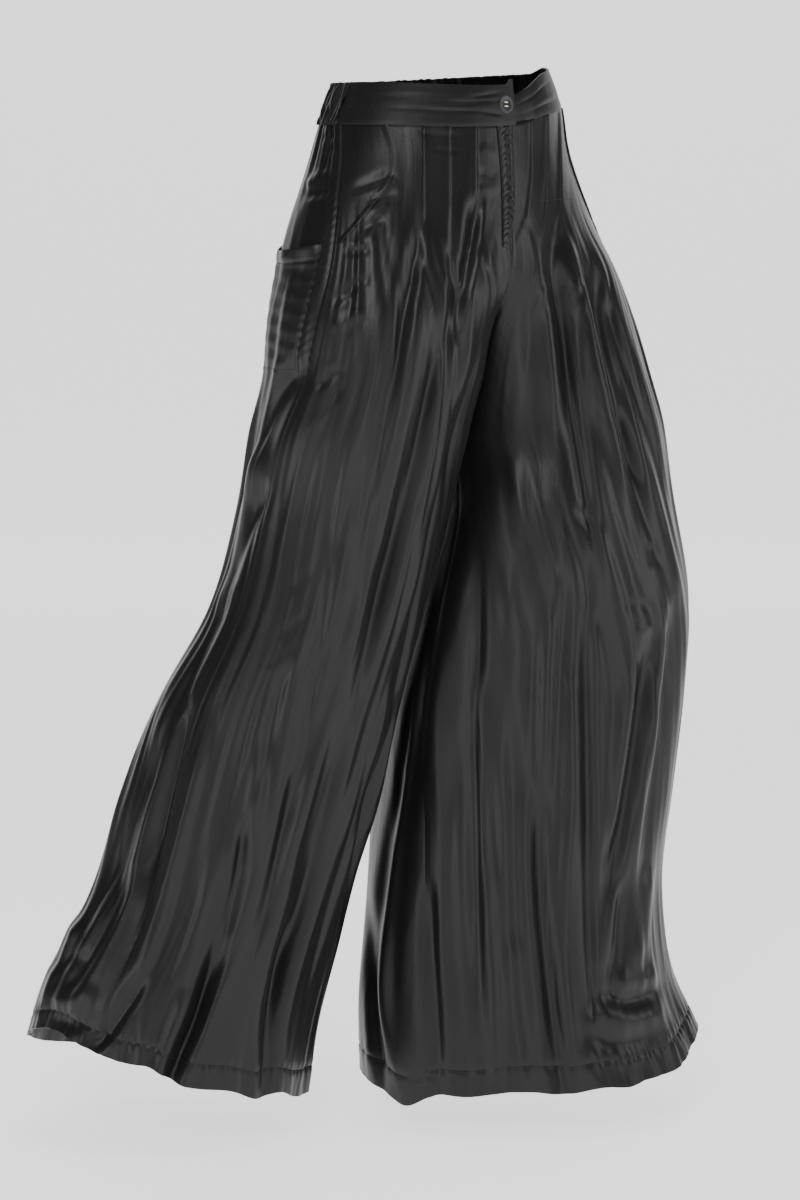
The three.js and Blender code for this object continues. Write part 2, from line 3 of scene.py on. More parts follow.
import bmesh
import bpy
import numpy as np
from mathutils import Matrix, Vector


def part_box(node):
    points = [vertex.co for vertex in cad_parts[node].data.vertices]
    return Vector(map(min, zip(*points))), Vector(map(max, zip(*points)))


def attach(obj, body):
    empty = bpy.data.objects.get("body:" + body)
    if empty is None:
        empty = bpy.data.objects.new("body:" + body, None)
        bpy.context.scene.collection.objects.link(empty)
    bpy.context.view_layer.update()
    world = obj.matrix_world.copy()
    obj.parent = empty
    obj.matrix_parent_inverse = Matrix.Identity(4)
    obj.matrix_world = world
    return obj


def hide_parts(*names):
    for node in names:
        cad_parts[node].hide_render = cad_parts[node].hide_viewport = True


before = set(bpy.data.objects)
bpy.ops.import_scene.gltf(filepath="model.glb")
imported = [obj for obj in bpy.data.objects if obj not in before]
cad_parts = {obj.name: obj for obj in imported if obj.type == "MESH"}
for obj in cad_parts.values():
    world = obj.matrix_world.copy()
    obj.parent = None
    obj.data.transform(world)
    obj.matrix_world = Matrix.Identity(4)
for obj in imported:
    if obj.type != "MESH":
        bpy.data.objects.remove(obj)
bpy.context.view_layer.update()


# The leg panels
# Each leg is a front and a back panel of thin black satin, joined at the side seam and the inseam, and the
# halves meet in the centre seams. The fronts are pleated below the waistband and hang from there in long
# folds. The form is worked out from sections through each half, as the solids are, with finer folds on it.
SIDE = {"left": 1, "right": -1}
OTHER = {"left": "right", "right": "left"}
FACE = {"front": 1, "back": -1}
CLOTH = 0.0006
BAND_HEIGHT = 0.040
WAIST_SEAM = -BAND_HEIGHT / 2
CROTCH = -0.345
HEM = -1.022
HEM_HEIGHT = 0.026
ROW = 0.40  # the usual length of one panel's row, from the side seam to the inseam


def table(columns, *rows):
    """A short table with named columns."""
    return np.array(list(rows), dtype=[(name, float) for name in columns.split()])


# Sections through each half, from the waist seam to the hem: the middle, the half sizes, how far the section
# is turned, how far the side seam has moved to the front, and the angles at which the cloth turns in between
# the legs and at which its row ends.
SECTION = "height x y wide deep turn twist fork open"
SECTIONS = {
    "right": table(
        SECTION,
        (-0.020, 0, 0, 0.139, 0.101, 0, 4, 84, 90),
        (-0.060, 0, 0, 0.155, 0.104, 0, 12, 84, 90),
        (-0.123, -0.004, 0, 0.178, 0.108, 0, 20, 86, 92),
        (-0.175, -0.030, 0, 0.166, 0.112, 0, 22, 100, 108),
        (-0.228, -0.076, 0, 0.127, 0.110, 0, 19, 130, 142),
        (-0.290, -0.092, 0.003, 0.114, 0.110, -4, 13, 142, 164),
        (CROTCH, -0.103, 0.012, 0.113, 0.110, -8, 8, 150, 180),
        (-0.425, -0.109, 0.028, 0.113, 0.111, -20, 5, 148, 180),
        (-0.530, -0.129, 0.046, 0.116, 0.112, -30, 8, 144, 180),
        (-0.630, -0.155, 0.073, 0.132, 0.113, -38, 12, 134, 180),
        (-0.735, -0.178, 0.095, 0.139, 0.115, -40, 16, 126, 180),
        (-0.840, -0.202, 0.118, 0.136, 0.118, -40, 20, 124, 180),
        (-0.945, -0.232, 0.146, 0.145, 0.124, -40, 23, 124, 180),
        (HEM, -0.245, 0.156, 0.148, 0.128, -40, 25, 124, 180),
    ),
    "left": table(
        SECTION,
        (-0.020, 0, 0, 0.139, 0.101, 0, 4, 84, 90),
        (-0.060, 0, 0, 0.152, 0.104, 0, 12, 84, 90),
        (-0.123, 0.020, 0, 0.162, 0.110, 0, 20, 86, 92),
        (-0.175, 0.066, -0.004, 0.142, 0.114, 0, 22, 98, 108),
        (-0.228, 0.097, -0.008, 0.130, 0.119, 0, 19, 126, 142),
        (-0.290, 0.116, -0.017, 0.123, 0.124, -4, 13, 142, 164),
        (CROTCH, 0.128, -0.020, 0.127, 0.129, -8, 8, 148, 180),
        (-0.425, 0.126, -0.029, 0.135, 0.128, -20, -1, 144, 180),
        (-0.530, 0.115, -0.031, 0.160, 0.125, -30, -6, 134, 180),
        (-0.630, 0.097, -0.023, 0.172, 0.123, -38, -9, 124, 180),
        (-0.735, 0.092, -0.021, 0.166, 0.124, -40, -12, 124, 180),
        (-0.840, 0.086, -0.018, 0.161, 0.126, -40, -14, 124, 180),
        (-0.945, 0.088, -0.020, 0.169, 0.130, -40, -14, 124, 180),
        (HEM, 0.100, -0.030, 0.181, 0.134, -40, -14, 124, 180),
    ),
}
# How far the hem's edge is above or below HEM, by the angle round the leg from the side seam.
HEM_EDGE = {
    "right": table(
        "angle rise",
        (-180, -0.022),
        (-90, 0.020),
        (-30, 0.062),
        (0, 0.044),
        (40, 0.014),
        (90, -0.012),
        (140, -0.026),
        (180, -0.022),
    ),
    "left": table(
        "angle rise",
        (-180, -0.030),
        (-90, -0.004),
        (-20, 0.024),
        (20, 0.046),
        (50, 0.030),
        (90, -0.002),
        (140, -0.010),
        (180, -0.030),
    ),
}
HEM_TILT_POWER = 5
FRONT_DIP = 0.009
WAIST_TILT = 0.06
LEFT_CLIMB = {"rise": 0.007, "from": 0.012, "over": 0.060, "front": 3}
DIP_FADES_BY = -0.150
TWIST_SPREADS_OVER = 0.150
FORK_SHARE = 0.8
CENTRE_CALM = 0.14
CALM_PAST_FORK = 0.06
CALM_ENDS = (-0.42, -0.60)  # below these heights the folds run on round the inside of the leg
EDGE_CALM = 0.35
PULL_FROM = 0.6
LEGS_APART = {"crotch": 0.0016, "below": 0.006, "over": 0.055, "hem": 0.016}
LEGS_SOFTEN = 0.007
SEAM_OPENS_OVER = 0.035
LEGS_PART_OVER = 0.090

# The folds and the stride are laid out as seen along this direction, with plan positions as complex numbers.
VIEW_TURN = -40
VIEW_ACROSS = np.exp(1j * math.radians(VIEW_TURN))
VIEW_AWAY = 1j * VIEW_ACROSS

# Folds in millimetres, each through three points given across the view and up. depth is the trough, or a
# ridge where it is below zero, width its half width, and lean the share by which its right side is narrower.
CREASE = "top_x top_z mid_x mid_z low_x low_z depth width lean"


def folds(*rows):
    """A table of folds, its lengths turned from millimetres into metres."""
    return table(CREASE, *(tuple(length / 1000 for length in row[:-1]) + row[-1:] for row in rows))


NEAR_CREASES = {
    "right": folds(
        # The long folds that fall from the pleats, and the deep ones beside the other leg
        (-20, -112, -43, -254, -82, -450, 7.5, 8.5, 0.3),
        (8, -112, 10, -250, -6, -360, 6, 7, -0.3),
        (37, -96, 29, -165, 10, -270, 8.5, 6.2, 0.4),
        (50, -118, 40, -200, 16, -320, -3, 8, 0),
        (12, -190, -33, -400, -112, -690, 13, 10, 0.3),
        (34, -250, -4, -440, -60, -640, 11, 8.5, -0.2),
        (-10, -420, -40, -570, -78, -740, -6, 9, 0),
        (-30, -540, -62, -700, -92, -860, 10, 7, 0.3),
        (-66, -470, -100, -620, -140, -780, -5, 14, 0),
        (-96, -610, -132, -785, -196, -1020, 13.5, 11.5, 0.35),
        (-60, -660, -98, -860, -150, -1070, 11, 8, -0.2),
        (-92, -840, -112, -940, -132, -1080, -6.5, 9, 0),
        (-146, -820, -169, -930, -184, -1080, 7, 7, 0.2),
        # The lower front panel
        (-200, -720, -211, -800, -232, -900, 7.5, 7, -0.3),
        (-214, -850, -250, -940, -294, -1040, 12, 9.5, 0.3),
        (-180, -640, -190, -720, -200, -790, -4.5, 9, 0),
        (-252, -900, -276, -960, -305, -1040, -6, 8, 0),
        (-160, -560, -172, -640, -190, -720, 4, 8, 0),
        (-108, -380, -126, -560, -160, -760, 5.5, 9, 0.2),
        (-150, -660, -168, -780, -200, -900, 6.5, 8, -0.2),
        (-214, -760, -232, -860, -262, -980, 6, 8, 0.2),
        # The back panel's edge, left of the side seam
        (-140, -262, -172, -312, -200, -380, 9.5, 10.5, -0.3),
        (-176, -385, -205, -450, -228, -530, 7, 10, 0.2),
        (-214, -500, -248, -565, -280, -640, 6.5, 9, 0),
        (-258, -590, -280, -700, -308, -830, 11, 8.5, 0.3),
        (-290, -640, -322, -745, -356, -850, 8, 9, -0.2),
        (-236, -610, -270, -760, -330, -950, -6, 10, 0),
        (-318, -780, -352, -860, -398, -930, 7, 7.5, 0),
        (-300, -880, -330, -940, -372, -985, 7.5, 8, 0.3),
        # Short crumples low at the outer back, where the cloth rests
        (-372, -868, -390, -862, -412, -880, -3.8, 10.8, 0),
        (-362, -884, -388, -890, -416, -906, 2.9, 8.1, 0),
        (-352, -910, -380, -925, -420, -930, -2.9, 9.5, 0),
        (-345, -935, -372, -950, -412, -948, 2.9, 8.1, 0),
        (-332, -956, -356, -975, -385, -985, -2.1, 8.1, 0),
        # Drag lines slanting away from the pocket and the side seam
        (-45, -79, -68, -88, -98, -100, 1.5, 4.7, 0.3),
        (-44, -95, -62, -103, -78, -109, 1.3, 4.7, -0.3),
        (-54, -108, -62, -113, -74, -120, -0.9, 4.5, 0),
        (-56, -124, -72, -132, -90, -142, 1.4, 4.7, 0.3),
        (-66, -142, -80, -148, -96, -154, -0.8, 4.5, 0),
        (-72, -156, -86, -158, -102, -157, 1.1, 4.3, 0),
        (-70, -184, -92, -196, -116, -216, 1.5, 5.7, 0.3),
        (-76, -212, -94, -224, -112, -238, -1, 5.7, 0),
        (-104, -270, -114, -284, -128, -296, 1.5, 5.3, 0),
        (-100, -300, -116, -318, -132, -340, -0.9, 6, 0),
        (-124, -470, -140, -486, -160, -505, 0.7, 5.7, 0),
        (-130, -520, -148, -534, -170, -552, 0.8, 5.7, 0),
        (-140, -560, -160, -574, -184, -588, -0.7, 5.7, 0),
        # Folds of the hip behind the side seam
        (-112, -76, -128, -84, -142, -92, -2.2, 5, 0),
        (-108, -96, -126, -100, -144, -104, 2.7, 5, 0.3),
        (-104, -38, -114, -42, -124, -44, 1.3, 3.4, 0),
        (-104, -52, -114, -55, -124, -56, 1.1, 3.2, 0),
        # Puckers across the stitched pleats
        (-28, -38, -4, -41, 26, -42, 0.7, 3, 0),
        (-18, -47, 4, -48, 28, -49, 0.5, 2.8, 0),
        (-12, -55, 4, -56, 26, -56, 0.5, 2.8, 0),
        (36, -50, 46, -58, 58, -60, -0.8, 6, 0),
        (34, -74, 46, -80, 60, -78, 0.8, 5, 0),
        (34, -92, 46, -96, 60, -88, -0.8, 5, 0),
    ),
    "left": folds(
        # The folds released by the pleats on this side
        (90, -108, 92, -210, 88, -330, 5, 8, 0.3),
        (104, -106, 112, -230, 122, -370, -4.5, 8, 0),
        (118, -106, 135, -300, 172, -530, 9.5, 9.5, 0.3),
        (128, -112, 158, -270, 196, -430, -5, 9.5, 0),
        (134, -118, 180, -290, 224, -480, 8.5, 9, -0.2),
        (146, -140, 200, -290, 246, -450, 5.5, 7.5, 0.2),
        (66, -190, 58, -290, 48, -400, 6.5, 8, 0),
        (186, -318, 200, -360, 213, -410, 5.5, 5.5, 0.3),
        # The long folds of the lower leg
        (136, -440, 120, -690, 130, -980, 8, 9, -0.2),
        (150, -450, 154, -700, 160, -1000, 9.5, 9, 0.3),
        (116, -660, 109, -850, 140, -1090, 9.5, 8, 0.2),
        (134, -720, 128, -880, 150, -1040, -5.5, 8, 0),
        (50, -680, 56, -800, 63, -950, 4, 9, 0),
        (74, -860, 80, -940, 84, -1080, -4, 8, 0),
        (222, -540, 206, -680, 164, -890, 11.5, 10, 0.3),
        (252, -500, 236, -660, 214, -830, 9, 9, -0.2),
        (200, -560, 190, -690, 176, -800, -6, 9, 0),
        (196, -800, 186, -880, 180, -950, 7, 7.5, 0),
        (222, -800, 214, -860, 206, -930, -5, 8, 0),
        (92, -520, 90, -640, 82, -760, 2.8, 9, 0),
        (30, -560, 34, -760, 40, -1000, 6.5, 8, 0.3),
        (72, -600, 76, -800, 88, -1050, 7.5, 8, -0.2),
        (100, -480, 98, -700, 108, -960, 6, 9, 0.2),
        (48, -760, 56, -900, 60, -1070, -5, 8, 0),
        (44, -400, 38, -520, 36, -640, 6, 8.5, 0.2),
        (78, -360, 74, -460, 70, -580, -4.5, 9, 0),
        # Small dents of the outer thigh
        (138, -418, 148, -430, 158, -444, 1.8, 4.5, 0.3),
        (218, -462, 224, -476, 222, -492, 2.1, 5.5, 0),
        (186, -532, 204, -526, 224, -534, 1.6, 5, 0),
        (200, -560, 216, -552, 238, -556, -1.2, 5.5, 0),
        # The inside of the leg, round the inseam
        (0, -420, -22, -600, -40, -780, 8, 9, 0),
        (-30, -560, -56, -760, -74, -960, 9.5, 8.5, 0.3),
        (-44, -700, -60, -860, -62, -1040, -6, 8, 0),
        (-84, -820, -76, -940, -58, -1080, 8.5, 7.5, -0.3),
        (-10, -800, -8, -920, 4, -1080, 6, 7, 0.3),
        (16, -640, 10, -800, 20, -1000, 4, 9, 0),
        # The soft roll that lies low at the outer front, and the folds round it
        (156, -936, 196, -964, 246, -950, -4.6, 15, 0.2),
        (162, -922, 198, -944, 240, -932, 3.6, 9, 0),
        (180, -912, 206, -926, 236, -918, -2, 9, 0),
        (150, -960, 184, -985, 240, -976, 2.6, 10.5, 0),
        (160, -985, 192, -1000, 226, -994, -1.5, 10.5, 0),
        (160, -900, 164, -930, 158, -965, 2.3, 9.7, 0),
    ),
}
FAR_CREASES = {
    "right": folds(
        (-60, -170, -110, -600, -185, -1100, 14, 14, 0.2),
        (-110, -200, -180, -620, -275, -1100, 15, 13.5, -0.2),
        (-140, -420, -215, -740, -350, -1100, 11, 12, 0.3),
        (-20, -190, -50, -420, -120, -700, 11, 12, 0),
        (-85, -240, -150, -560, -215, -900, -6, 12, 0),
        (-150, -560, -200, -780, -240, -1090, 8.5, 10, 0.3),
        (-120, -130, -150, -210, -170, -300, 6, 10, 0),
        (-30, -160, -55, -180, -85, -186, 4.5, 6, 0),
    ),
    "left": folds(
        (70, -170, 60, -600, 50, -1100, 14, 14, 0.2),
        (130, -180, 140, -620, 128, -1100, 15, 13.5, -0.3),
        (180, -420, 195, -740, 205, -1100, 12, 12, 0.3),
        (10, -480, -10, -760, -20, -1100, 11, 12, 0),
        (100, -240, 100, -560, 90, -900, -6, 12, 0),
        (160, -520, 166, -740, 170, -1090, 8, 10, 0.3),
        (30, -600, 28, -800, 16, -1090, 7.5, 10, -0.2),
        (60, -150, 90, -176, 120, -180, 4.5, 6, 0),
    ),
}
# Folds on the sides that the view sees edge on, given round the leg from the side seam, front positive.
SIDE_CREASES = {
    "right": folds(
        (-60, -240, -80, -480, -75, -760, 8, 10, 0.2),
        (-130, -280, -120, -560, -150, -900, 9, 11, -0.2),
        (-40, -520, -50, -780, -40, -1090, 9, 10, 0.3),
        (-100, -600, -105, -840, -110, -1090, -6, 11, 0),
        (-200, -240, -210, -560, -200, -980, 9, 12, 0.2),
        (250, -420, 240, -700, 250, -1090, 9, 11, 0.2),
        (300, -460, 310, -760, 300, -1090, 8, 11, -0.2),
        (-300, -420, -300, -700, -310, -1090, 9, 11, 0.2),
        (-350, -460, -356, -760, -350, -1090, 8, 10, -0.2),
    ),
    "left": folds(
        (60, -140, 80, -380, 70, -700, 8.5, 10, 0.2),
        (20, -180, 16, -460, 30, -800, 8, 11, -0.2),
        (-40, -160, -50, -440, -60, -860, 9.5, 11, 0.3),
        (-100, -240, -110, -560, -100, -1060, 9, 12, 0),
        (110, -520, 100, -780, 110, -1090, 9, 10, 0.3),
        (50, -620, 55, -840, 40, -1090, -6, 11, 0),
        (-10, -600, -12, -840, -20, -1090, 9.5, 10, 0.2),
        (-75, -660, -70, -860, -85, -1090, -6, 11, 0),
        (-300, -420, -310, -700, -300, -1090, 9, 11, 0.2),
        (-240, -460, -236, -760, -250, -1090, 8, 11, -0.2),
        (-352, -520, -350, -780, -356, -1090, 7, 10, 0),
    ),
}
CREASE_FADE = 0.3  # the share of a fold's length over which it grows at each end
CREASE_SHOULDER = 0.45
CREASE_CORE = 0.22  # the share of a trough's depth that is a narrow line at its bottom
CREASE_STEPS = 24
SIDE_CREASES_HIDDEN = 0.6  # how much shallower the folds of the sides are away from the view
CORE_FROM = 0.006  # narrower folds than this have no sharper core

# Shallow, uneven ripples that hang down all the cloth. spacing is round the leg, slant how far they wander
# with height, and swell the height over which they come and go.
RIPPLES = table(
    "spacing rise slant swell phase",
    (0.083, 0.0018, 0.9, 0.52, 0.4),
    (0.047, 0.0011, -1.3, 0.37, 2.1),
    (0.031, 0.0007, 2.1, 0.29, 4.0),
    (0.019, 0.0004, -2.9, 0.21, 1.2),
    (0.0115, 0.00022, 3.7, 0.15, 5.3),
)
# Fine long folds between the larger ones: the size of a fold across and down, and its rise
FINE_FOLDS = table("across down rise", (0.0145, 0.190, 0.0015), (0.0088, 0.120, 0.0007))
FINE_CELLS = (32, 128)
FINE_SEED = 40
FINE_GROW = (-0.085, 0.120)
FINE_WHERE_CALM = 0.3
FINE_SWAY = {"by": 0.9, "down": 5.0, "round": 3.0, "step": 0.5, "step_round": 17.0}
HEM_PUCKER = {"spacing": 0.0105, "rise": 0.0006, "reach": 0.009, "drawn": 0.0009}
HEM_UNEVEN = {"sway": 2.3, "round": 31, "line": 0.3}
RIPPLES_START = -0.110
RIPPLES_GROW = 0.240
RIPPLE_SWAY = {"down": 6, "leg": 1.7, "face": 0.9, "round": 9}
RIPPLE_SWELL = (0.55, 0.45)

# Knife pleats, stitched flat for a stretch below the waistband and then released.
PLEATS = {
    "right": table("edge width", (-0.017, 0.022), (0.009, 0.022), (0.036, 0.022)),
    "left": table("edge width", (0.090, 0.013), (0.106, 0.013), (0.121, 0.013)),
}
PLEAT = {"rise": 0.0021, "edge": 0.0035, "length": 0.090, "release": 0.050}
GATHERS = {"waves": 7, "depth": 0.002, "fine_waves": 19, "fine_depth": 0.0009, "sway": 3, "fades_by": -0.130}

# Seams are drawn in a little, with short slanting puckers beside them.
SEAM = {"sink": 0.0010, "reach": 0.0026, "pucker_reach": 0.009, "spacing": 0.0095, "slant": 0.7}
SEAM_PUCKER = {"side": 0.0005, "centre": 0.0007, "inseam": 0.0012}
SEAM_UNEVEN = {"sway": 2.3, "down": 41, "least": 0.6, "swell": 0.4, "long": 23, "short": 67}
SEAM_FLAT = 0.035  # over this share of a row beside each seam the ripples die away, so that both panels meet

# Where the hem's edge hangs lower or higher in its folds, across the view.
HEM_DIPS = {
    "right": table(
        "at width drop",
        (-0.190, 0.013, 0.007),
        (-0.170, 0.009, -0.005),
        (-0.262, 0.020, 0.005),
        (-0.300, 0.012, -0.006),
        (-0.150, 0.010, 0.004),
    ),
    "left": table(
        "at width drop",
        (-0.037, 0.014, 0.011),
        (-0.006, 0.018, -0.010),
        (0.060, 0.030, -0.004),
        (0.130, 0.020, 0.006),
        (0.196, 0.012, 0.004),
    ),
}
HEM_DIP_POWER = 14

COLUMNS = {"front": 176, "back": 164}
TORSO_END = -0.300
TORSO_ROWS = 110
LEG_ROWS = 150
TUCKED = 0.004  # each panel runs on this far under the waistband and the hem
TUCK_SINKS = 0.0036
SMOOTH_BELOW = 70  # degrees between faces, above which an edge stays sharp


def smooth(t):
    t = np.clip(t, 0, 1)
    return t * t * (3 - 2 * t)


def mix(a, b, t):
    return a + (b - a) * t


def dot(a, b):
    return (a * np.conj(b)).real


def unit(vector):
    return vector / np.maximum(np.abs(vector), 1e-12)


def read(rows, by, column, at):
    """A column of a table at positions between its rows, on a smooth curve through them."""
    keys, values = rows[by], rows[column]
    way = np.sign(keys[-1] - keys[0])
    i = np.clip(np.searchsorted(way * keys, way * at) - 1, 0, len(keys) - 2)
    place = np.arange(len(keys))
    before, after = np.maximum(place - 1, 0), np.minimum(place + 1, len(keys) - 1)
    slopes = (values[after] - values[before]) / (keys[after] - keys[before])
    span = keys[i + 1] - keys[i]
    t = np.clip((at - keys[i]) / span, 0, 1)
    ends = values[i] * (2 * t**3 - 3 * t**2 + 1) + values[i + 1] * (3 * t**2 - 2 * t**3)
    return ends + span * (slopes[i] * (t**3 - 2 * t**2 + t) + slopes[i + 1] * (t**3 - t**2))


def section(leg, height):
    """The section of a half at each height."""
    rows = SECTIONS[leg]
    found = {name: read(rows, "height", name, height) for name in rows.dtype.names if name != "height"}
    found["open"] = np.minimum(180, found["open"])
    return found


def around(leg, at, angle):
    """A section's plan point at an angle from the side, positive to the front, and its outward direction."""
    a = np.radians(angle + SIDE[leg] * at["turn"])
    along = np.exp(1j * np.radians(at["turn"]))
    across, forward = SIDE[leg] * np.cos(a), -1j * np.sin(a)
    point = at["x"] + 1j * at["y"] + along * (at["wide"] * across + at["deep"] * forward)
    return point, unit(along * (at["deep"] * across + at["wide"] * forward))


def held_back(leg, point, height):
    """Holds a half back from the plane between the legs, softly where it turns inwards."""
    own, other = section(leg, height), section(OTHER[leg], height)
    start = own["x"] + 1j * own["y"]
    towards = other["x"] + 1j * other["y"] - start
    middle = start + towards * own["wide"] / (own["wide"] + other["wide"])
    parted = smooth((CROTCH - height) / LEGS_PART_OVER)
    middle = middle.real * parted + 1j * middle.imag
    direction = unit(mix(-SIDE[leg], unit(towards), parted))
    below = mix(LEGS_APART["below"], LEGS_APART["hem"], smooth((CROTCH - height) / (CROTCH - HEM)))
    apart = mix(LEGS_APART["crotch"], below, smooth((CROTCH - height) / LEGS_APART["over"]))
    past = dot(point - middle, direction) + apart
    allowed = -LEGS_SOFTEN * np.logaddexp(0, -past / LEGS_SOFTEN)
    return point + direction * (allowed - past)


def seam_pull(leg, face, height):
    """How far the centre end of a row is moved so that both halves meet in one seam."""
    level = np.maximum(height, CROTCH)
    ends = []
    for half in (leg, OTHER[leg]):
        at = section(half, level)
        ends.append(held_back(half, around(half, at, FACE[face] * at["open"])[0], level))
    fades = 1 - smooth((CROTCH - height) / LEGS_PART_OVER)
    return fades * (-ends[0].real + 0.5j * (ends[1].imag - ends[0].imag))


def crease_rise(creases, x, z):
    """How far a table's folds lift the cloth at points given across and up."""
    rise = np.zeros_like(x)
    t = np.linspace(0, 1, CREASE_STEPS + 1)
    for crease in creases:
        line = {}
        for way in "xz":
            top, middle, low = (crease[f"{part}_{way}"] for part in ("top", "mid", "low"))
            line[way] = top * (1 - t) * (1 - 2 * t) + 4 * middle * t * (1 - t) + low * t * (2 * t - 1)
        reach = 4 * crease["width"]
        near = (x > line["x"].min() - reach) & (x < line["x"].max() + reach)
        near &= (z > line["z"].min() - reach) & (z < line["z"].max() + reach)
        if not near.any():
            continue
        run_x, run_z = np.diff(line["x"])[:, None], np.diff(line["z"])[:, None]
        from_x, from_z = x[near] - line["x"][:-1, None], z[near] - line["z"][:-1, None]
        along = np.clip((from_x * run_x + from_z * run_z) / (run_x**2 + run_z**2), 0, 1)
        away_x, away_z = from_x - along * run_x, from_z - along * run_z
        nearest = np.argmin(away_x**2 + away_z**2, axis=0)
        pick = (nearest, np.arange(len(nearest)))
        side = np.sign(run_x[nearest, 0] * away_z[pick] - run_z[nearest, 0] * away_x[pick])
        distance = np.hypot(away_x[pick], away_z[pick]) / (crease["width"] * (1 - side * crease["lean"]))
        share = (nearest + along[pick]) / CREASE_STEPS
        taper = smooth(share / CREASE_FADE) * smooth((1 - share) / CREASE_FADE)
        trough = (1 - CREASE_SHOULDER * distance**2) * np.exp(-(distance**2) / 2)
        if crease["depth"] > 0 and crease["width"] > CORE_FROM:
            trough = mix(trough, np.exp(-2 * distance**2), CREASE_CORE)
        rise[near] -= crease["depth"] * taper * trough
    return rise


def ripple_rise(leg, face, arc, z):
    """Shallow ripples, which start below the stitched pleats and are nowhere even."""
    rise = np.zeros_like(arc)
    for k, ripple in enumerate(RIPPLES):
        wander = np.sin(RIPPLE_SWAY["down"] * z + k + SIDE[leg])
        turn = 2 * math.pi * arc / ripple["spacing"] + ripple["slant"] * wander
        turn += ripple["phase"] + RIPPLE_SWAY["leg"] * SIDE[leg] + RIPPLE_SWAY["face"] * FACE[face]
        comes = np.sin(2 * math.pi * z / ripple["swell"] + RIPPLE_SWAY["round"] * arc + ripple["phase"])
        swell = RIPPLE_SWELL[0] + RIPPLE_SWELL[1] * comes
        rise += ripple["rise"] * swell * np.sin(turn)
    return rise * smooth((RIPPLES_START - z) / RIPPLES_GROW)


def fine_rise(leg, arc, z):
    """Fine folds that wander down the cloth, from smooth noise on long cells."""
    rise = np.zeros_like(arc)
    for k, fold in enumerate(FINE_FOLDS):
        random = np.random.default_rng(FINE_SEED + 2 * k + (leg == "left"))
        cells = random.uniform(-1, 1, FINE_CELLS)
        sway = np.sin(FINE_SWAY["down"] * z + FINE_SWAY["round"] * arc + 2 * k)
        x = arc / fold["across"] + FINE_SWAY["by"] * sway
        y = -z / fold["down"] + FINE_SWAY["step"] * np.sin(FINE_SWAY["step_round"] * arc)
        column, row = np.floor(x).astype(int), np.floor(y).astype(int)
        u, v = smooth(x - column), smooth(y - row)
        high, low = row % FINE_CELLS[0], (row + 1) % FINE_CELLS[0]
        near, far = column % FINE_CELLS[1], (column + 1) % FINE_CELLS[1]
        rise += fold["rise"] * mix(
            mix(cells[high, near], cells[high, far], u),
            mix(cells[low, near], cells[low, far], u),
            v,
        )
    return rise * smooth((FINE_GROW[0] - z) / FINE_GROW[1])


def hem_rise(arc, height):
    """Small puckers each side of the hem's stitching, which draws the cloth in a little."""
    from_line = (height - HEM - HEM_HEIGHT) / HEM_PUCKER["reach"]
    near = np.exp(-(from_line**2))
    line = np.exp(-((from_line / HEM_UNEVEN["line"]) ** 2))
    turn = 2 * math.pi * arc / HEM_PUCKER["spacing"] + HEM_UNEVEN["sway"] * np.sin(HEM_UNEVEN["round"] * arc)
    return near * HEM_PUCKER["rise"] * np.sin(turn) - line * HEM_PUCKER["drawn"]


def pleat_rise(leg, across_view, height):
    fade = 1 - smooth((WAIST_SEAM - PLEAT["length"] - height) / PLEAT["release"])
    rise = np.zeros_like(height)
    for pleat in PLEATS[leg]:
        inside = (pleat["edge"] - across_view) * -SIDE[leg]
        slope = smooth(inside / PLEAT["edge"]) * (1 - inside / pleat["width"])
        rise += np.where((inside > 0) & (inside < pleat["width"]), PLEAT["rise"] * slope, 0)
    return rise * fade


def gather_rise(across, height):
    fade = smooth((height - GATHERS["fades_by"]) / (WAIST_SEAM - GATHERS["fades_by"]))
    turn = 2 * math.pi * np.minimum(1, across / FORK_SHARE)
    coarse = GATHERS["depth"] * np.sin(turn * GATHERS["waves"])
    sway = GATHERS["sway"] * np.sin(2 * turn)
    return fade * (coarse + GATHERS["fine_depth"] * np.sin(turn * GATHERS["fine_waves"] + sway))


def seam_rise(across, z):
    """The seams along both edges of a panel."""
    inner = mix(SEAM_PUCKER["centre"], SEAM_PUCKER["inseam"], smooth((CROTCH - z) / LEGS_PART_OVER))
    rise = np.zeros_like(z)
    for distance, pucker in ((across * ROW, SEAM_PUCKER["side"]), ((1 - across) * ROW, inner)):
        rise -= SEAM["sink"] * np.exp(-((distance / SEAM["reach"]) ** 2))
        turn = 2 * math.pi * (z + SEAM["slant"] * distance) / SEAM["spacing"]
        turn += SEAM_UNEVEN["sway"] * np.sin(SEAM_UNEVEN["down"] * z)
        swell = np.sin(SEAM_UNEVEN["long"] * z) * np.sin(SEAM_UNEVEN["short"] * z)
        uneven = SEAM_UNEVEN["least"] + SEAM_UNEVEN["swell"] * swell
        rise += pucker * uneven * np.sin(turn) * np.exp(-distance / SEAM["pucker_reach"])
    return rise


def waist_lift(x, angle, height):
    """How far the waist rises or dips: down at the front, and up towards the garment's left."""
    fade = smooth((height - DIP_FADES_BY) / (WAIST_SEAM - DIP_FADES_BY))
    front = np.maximum(0, np.sin(np.radians(angle)))
    climb = smooth((x - LEFT_CLIMB["from"]) / LEFT_CLIMB["over"]) * smooth(LEFT_CLIMB["front"] * front)
    return fade * (WAIST_TILT * x - FRONT_DIP * front**2 + LEFT_CLIMB["rise"] * climb)


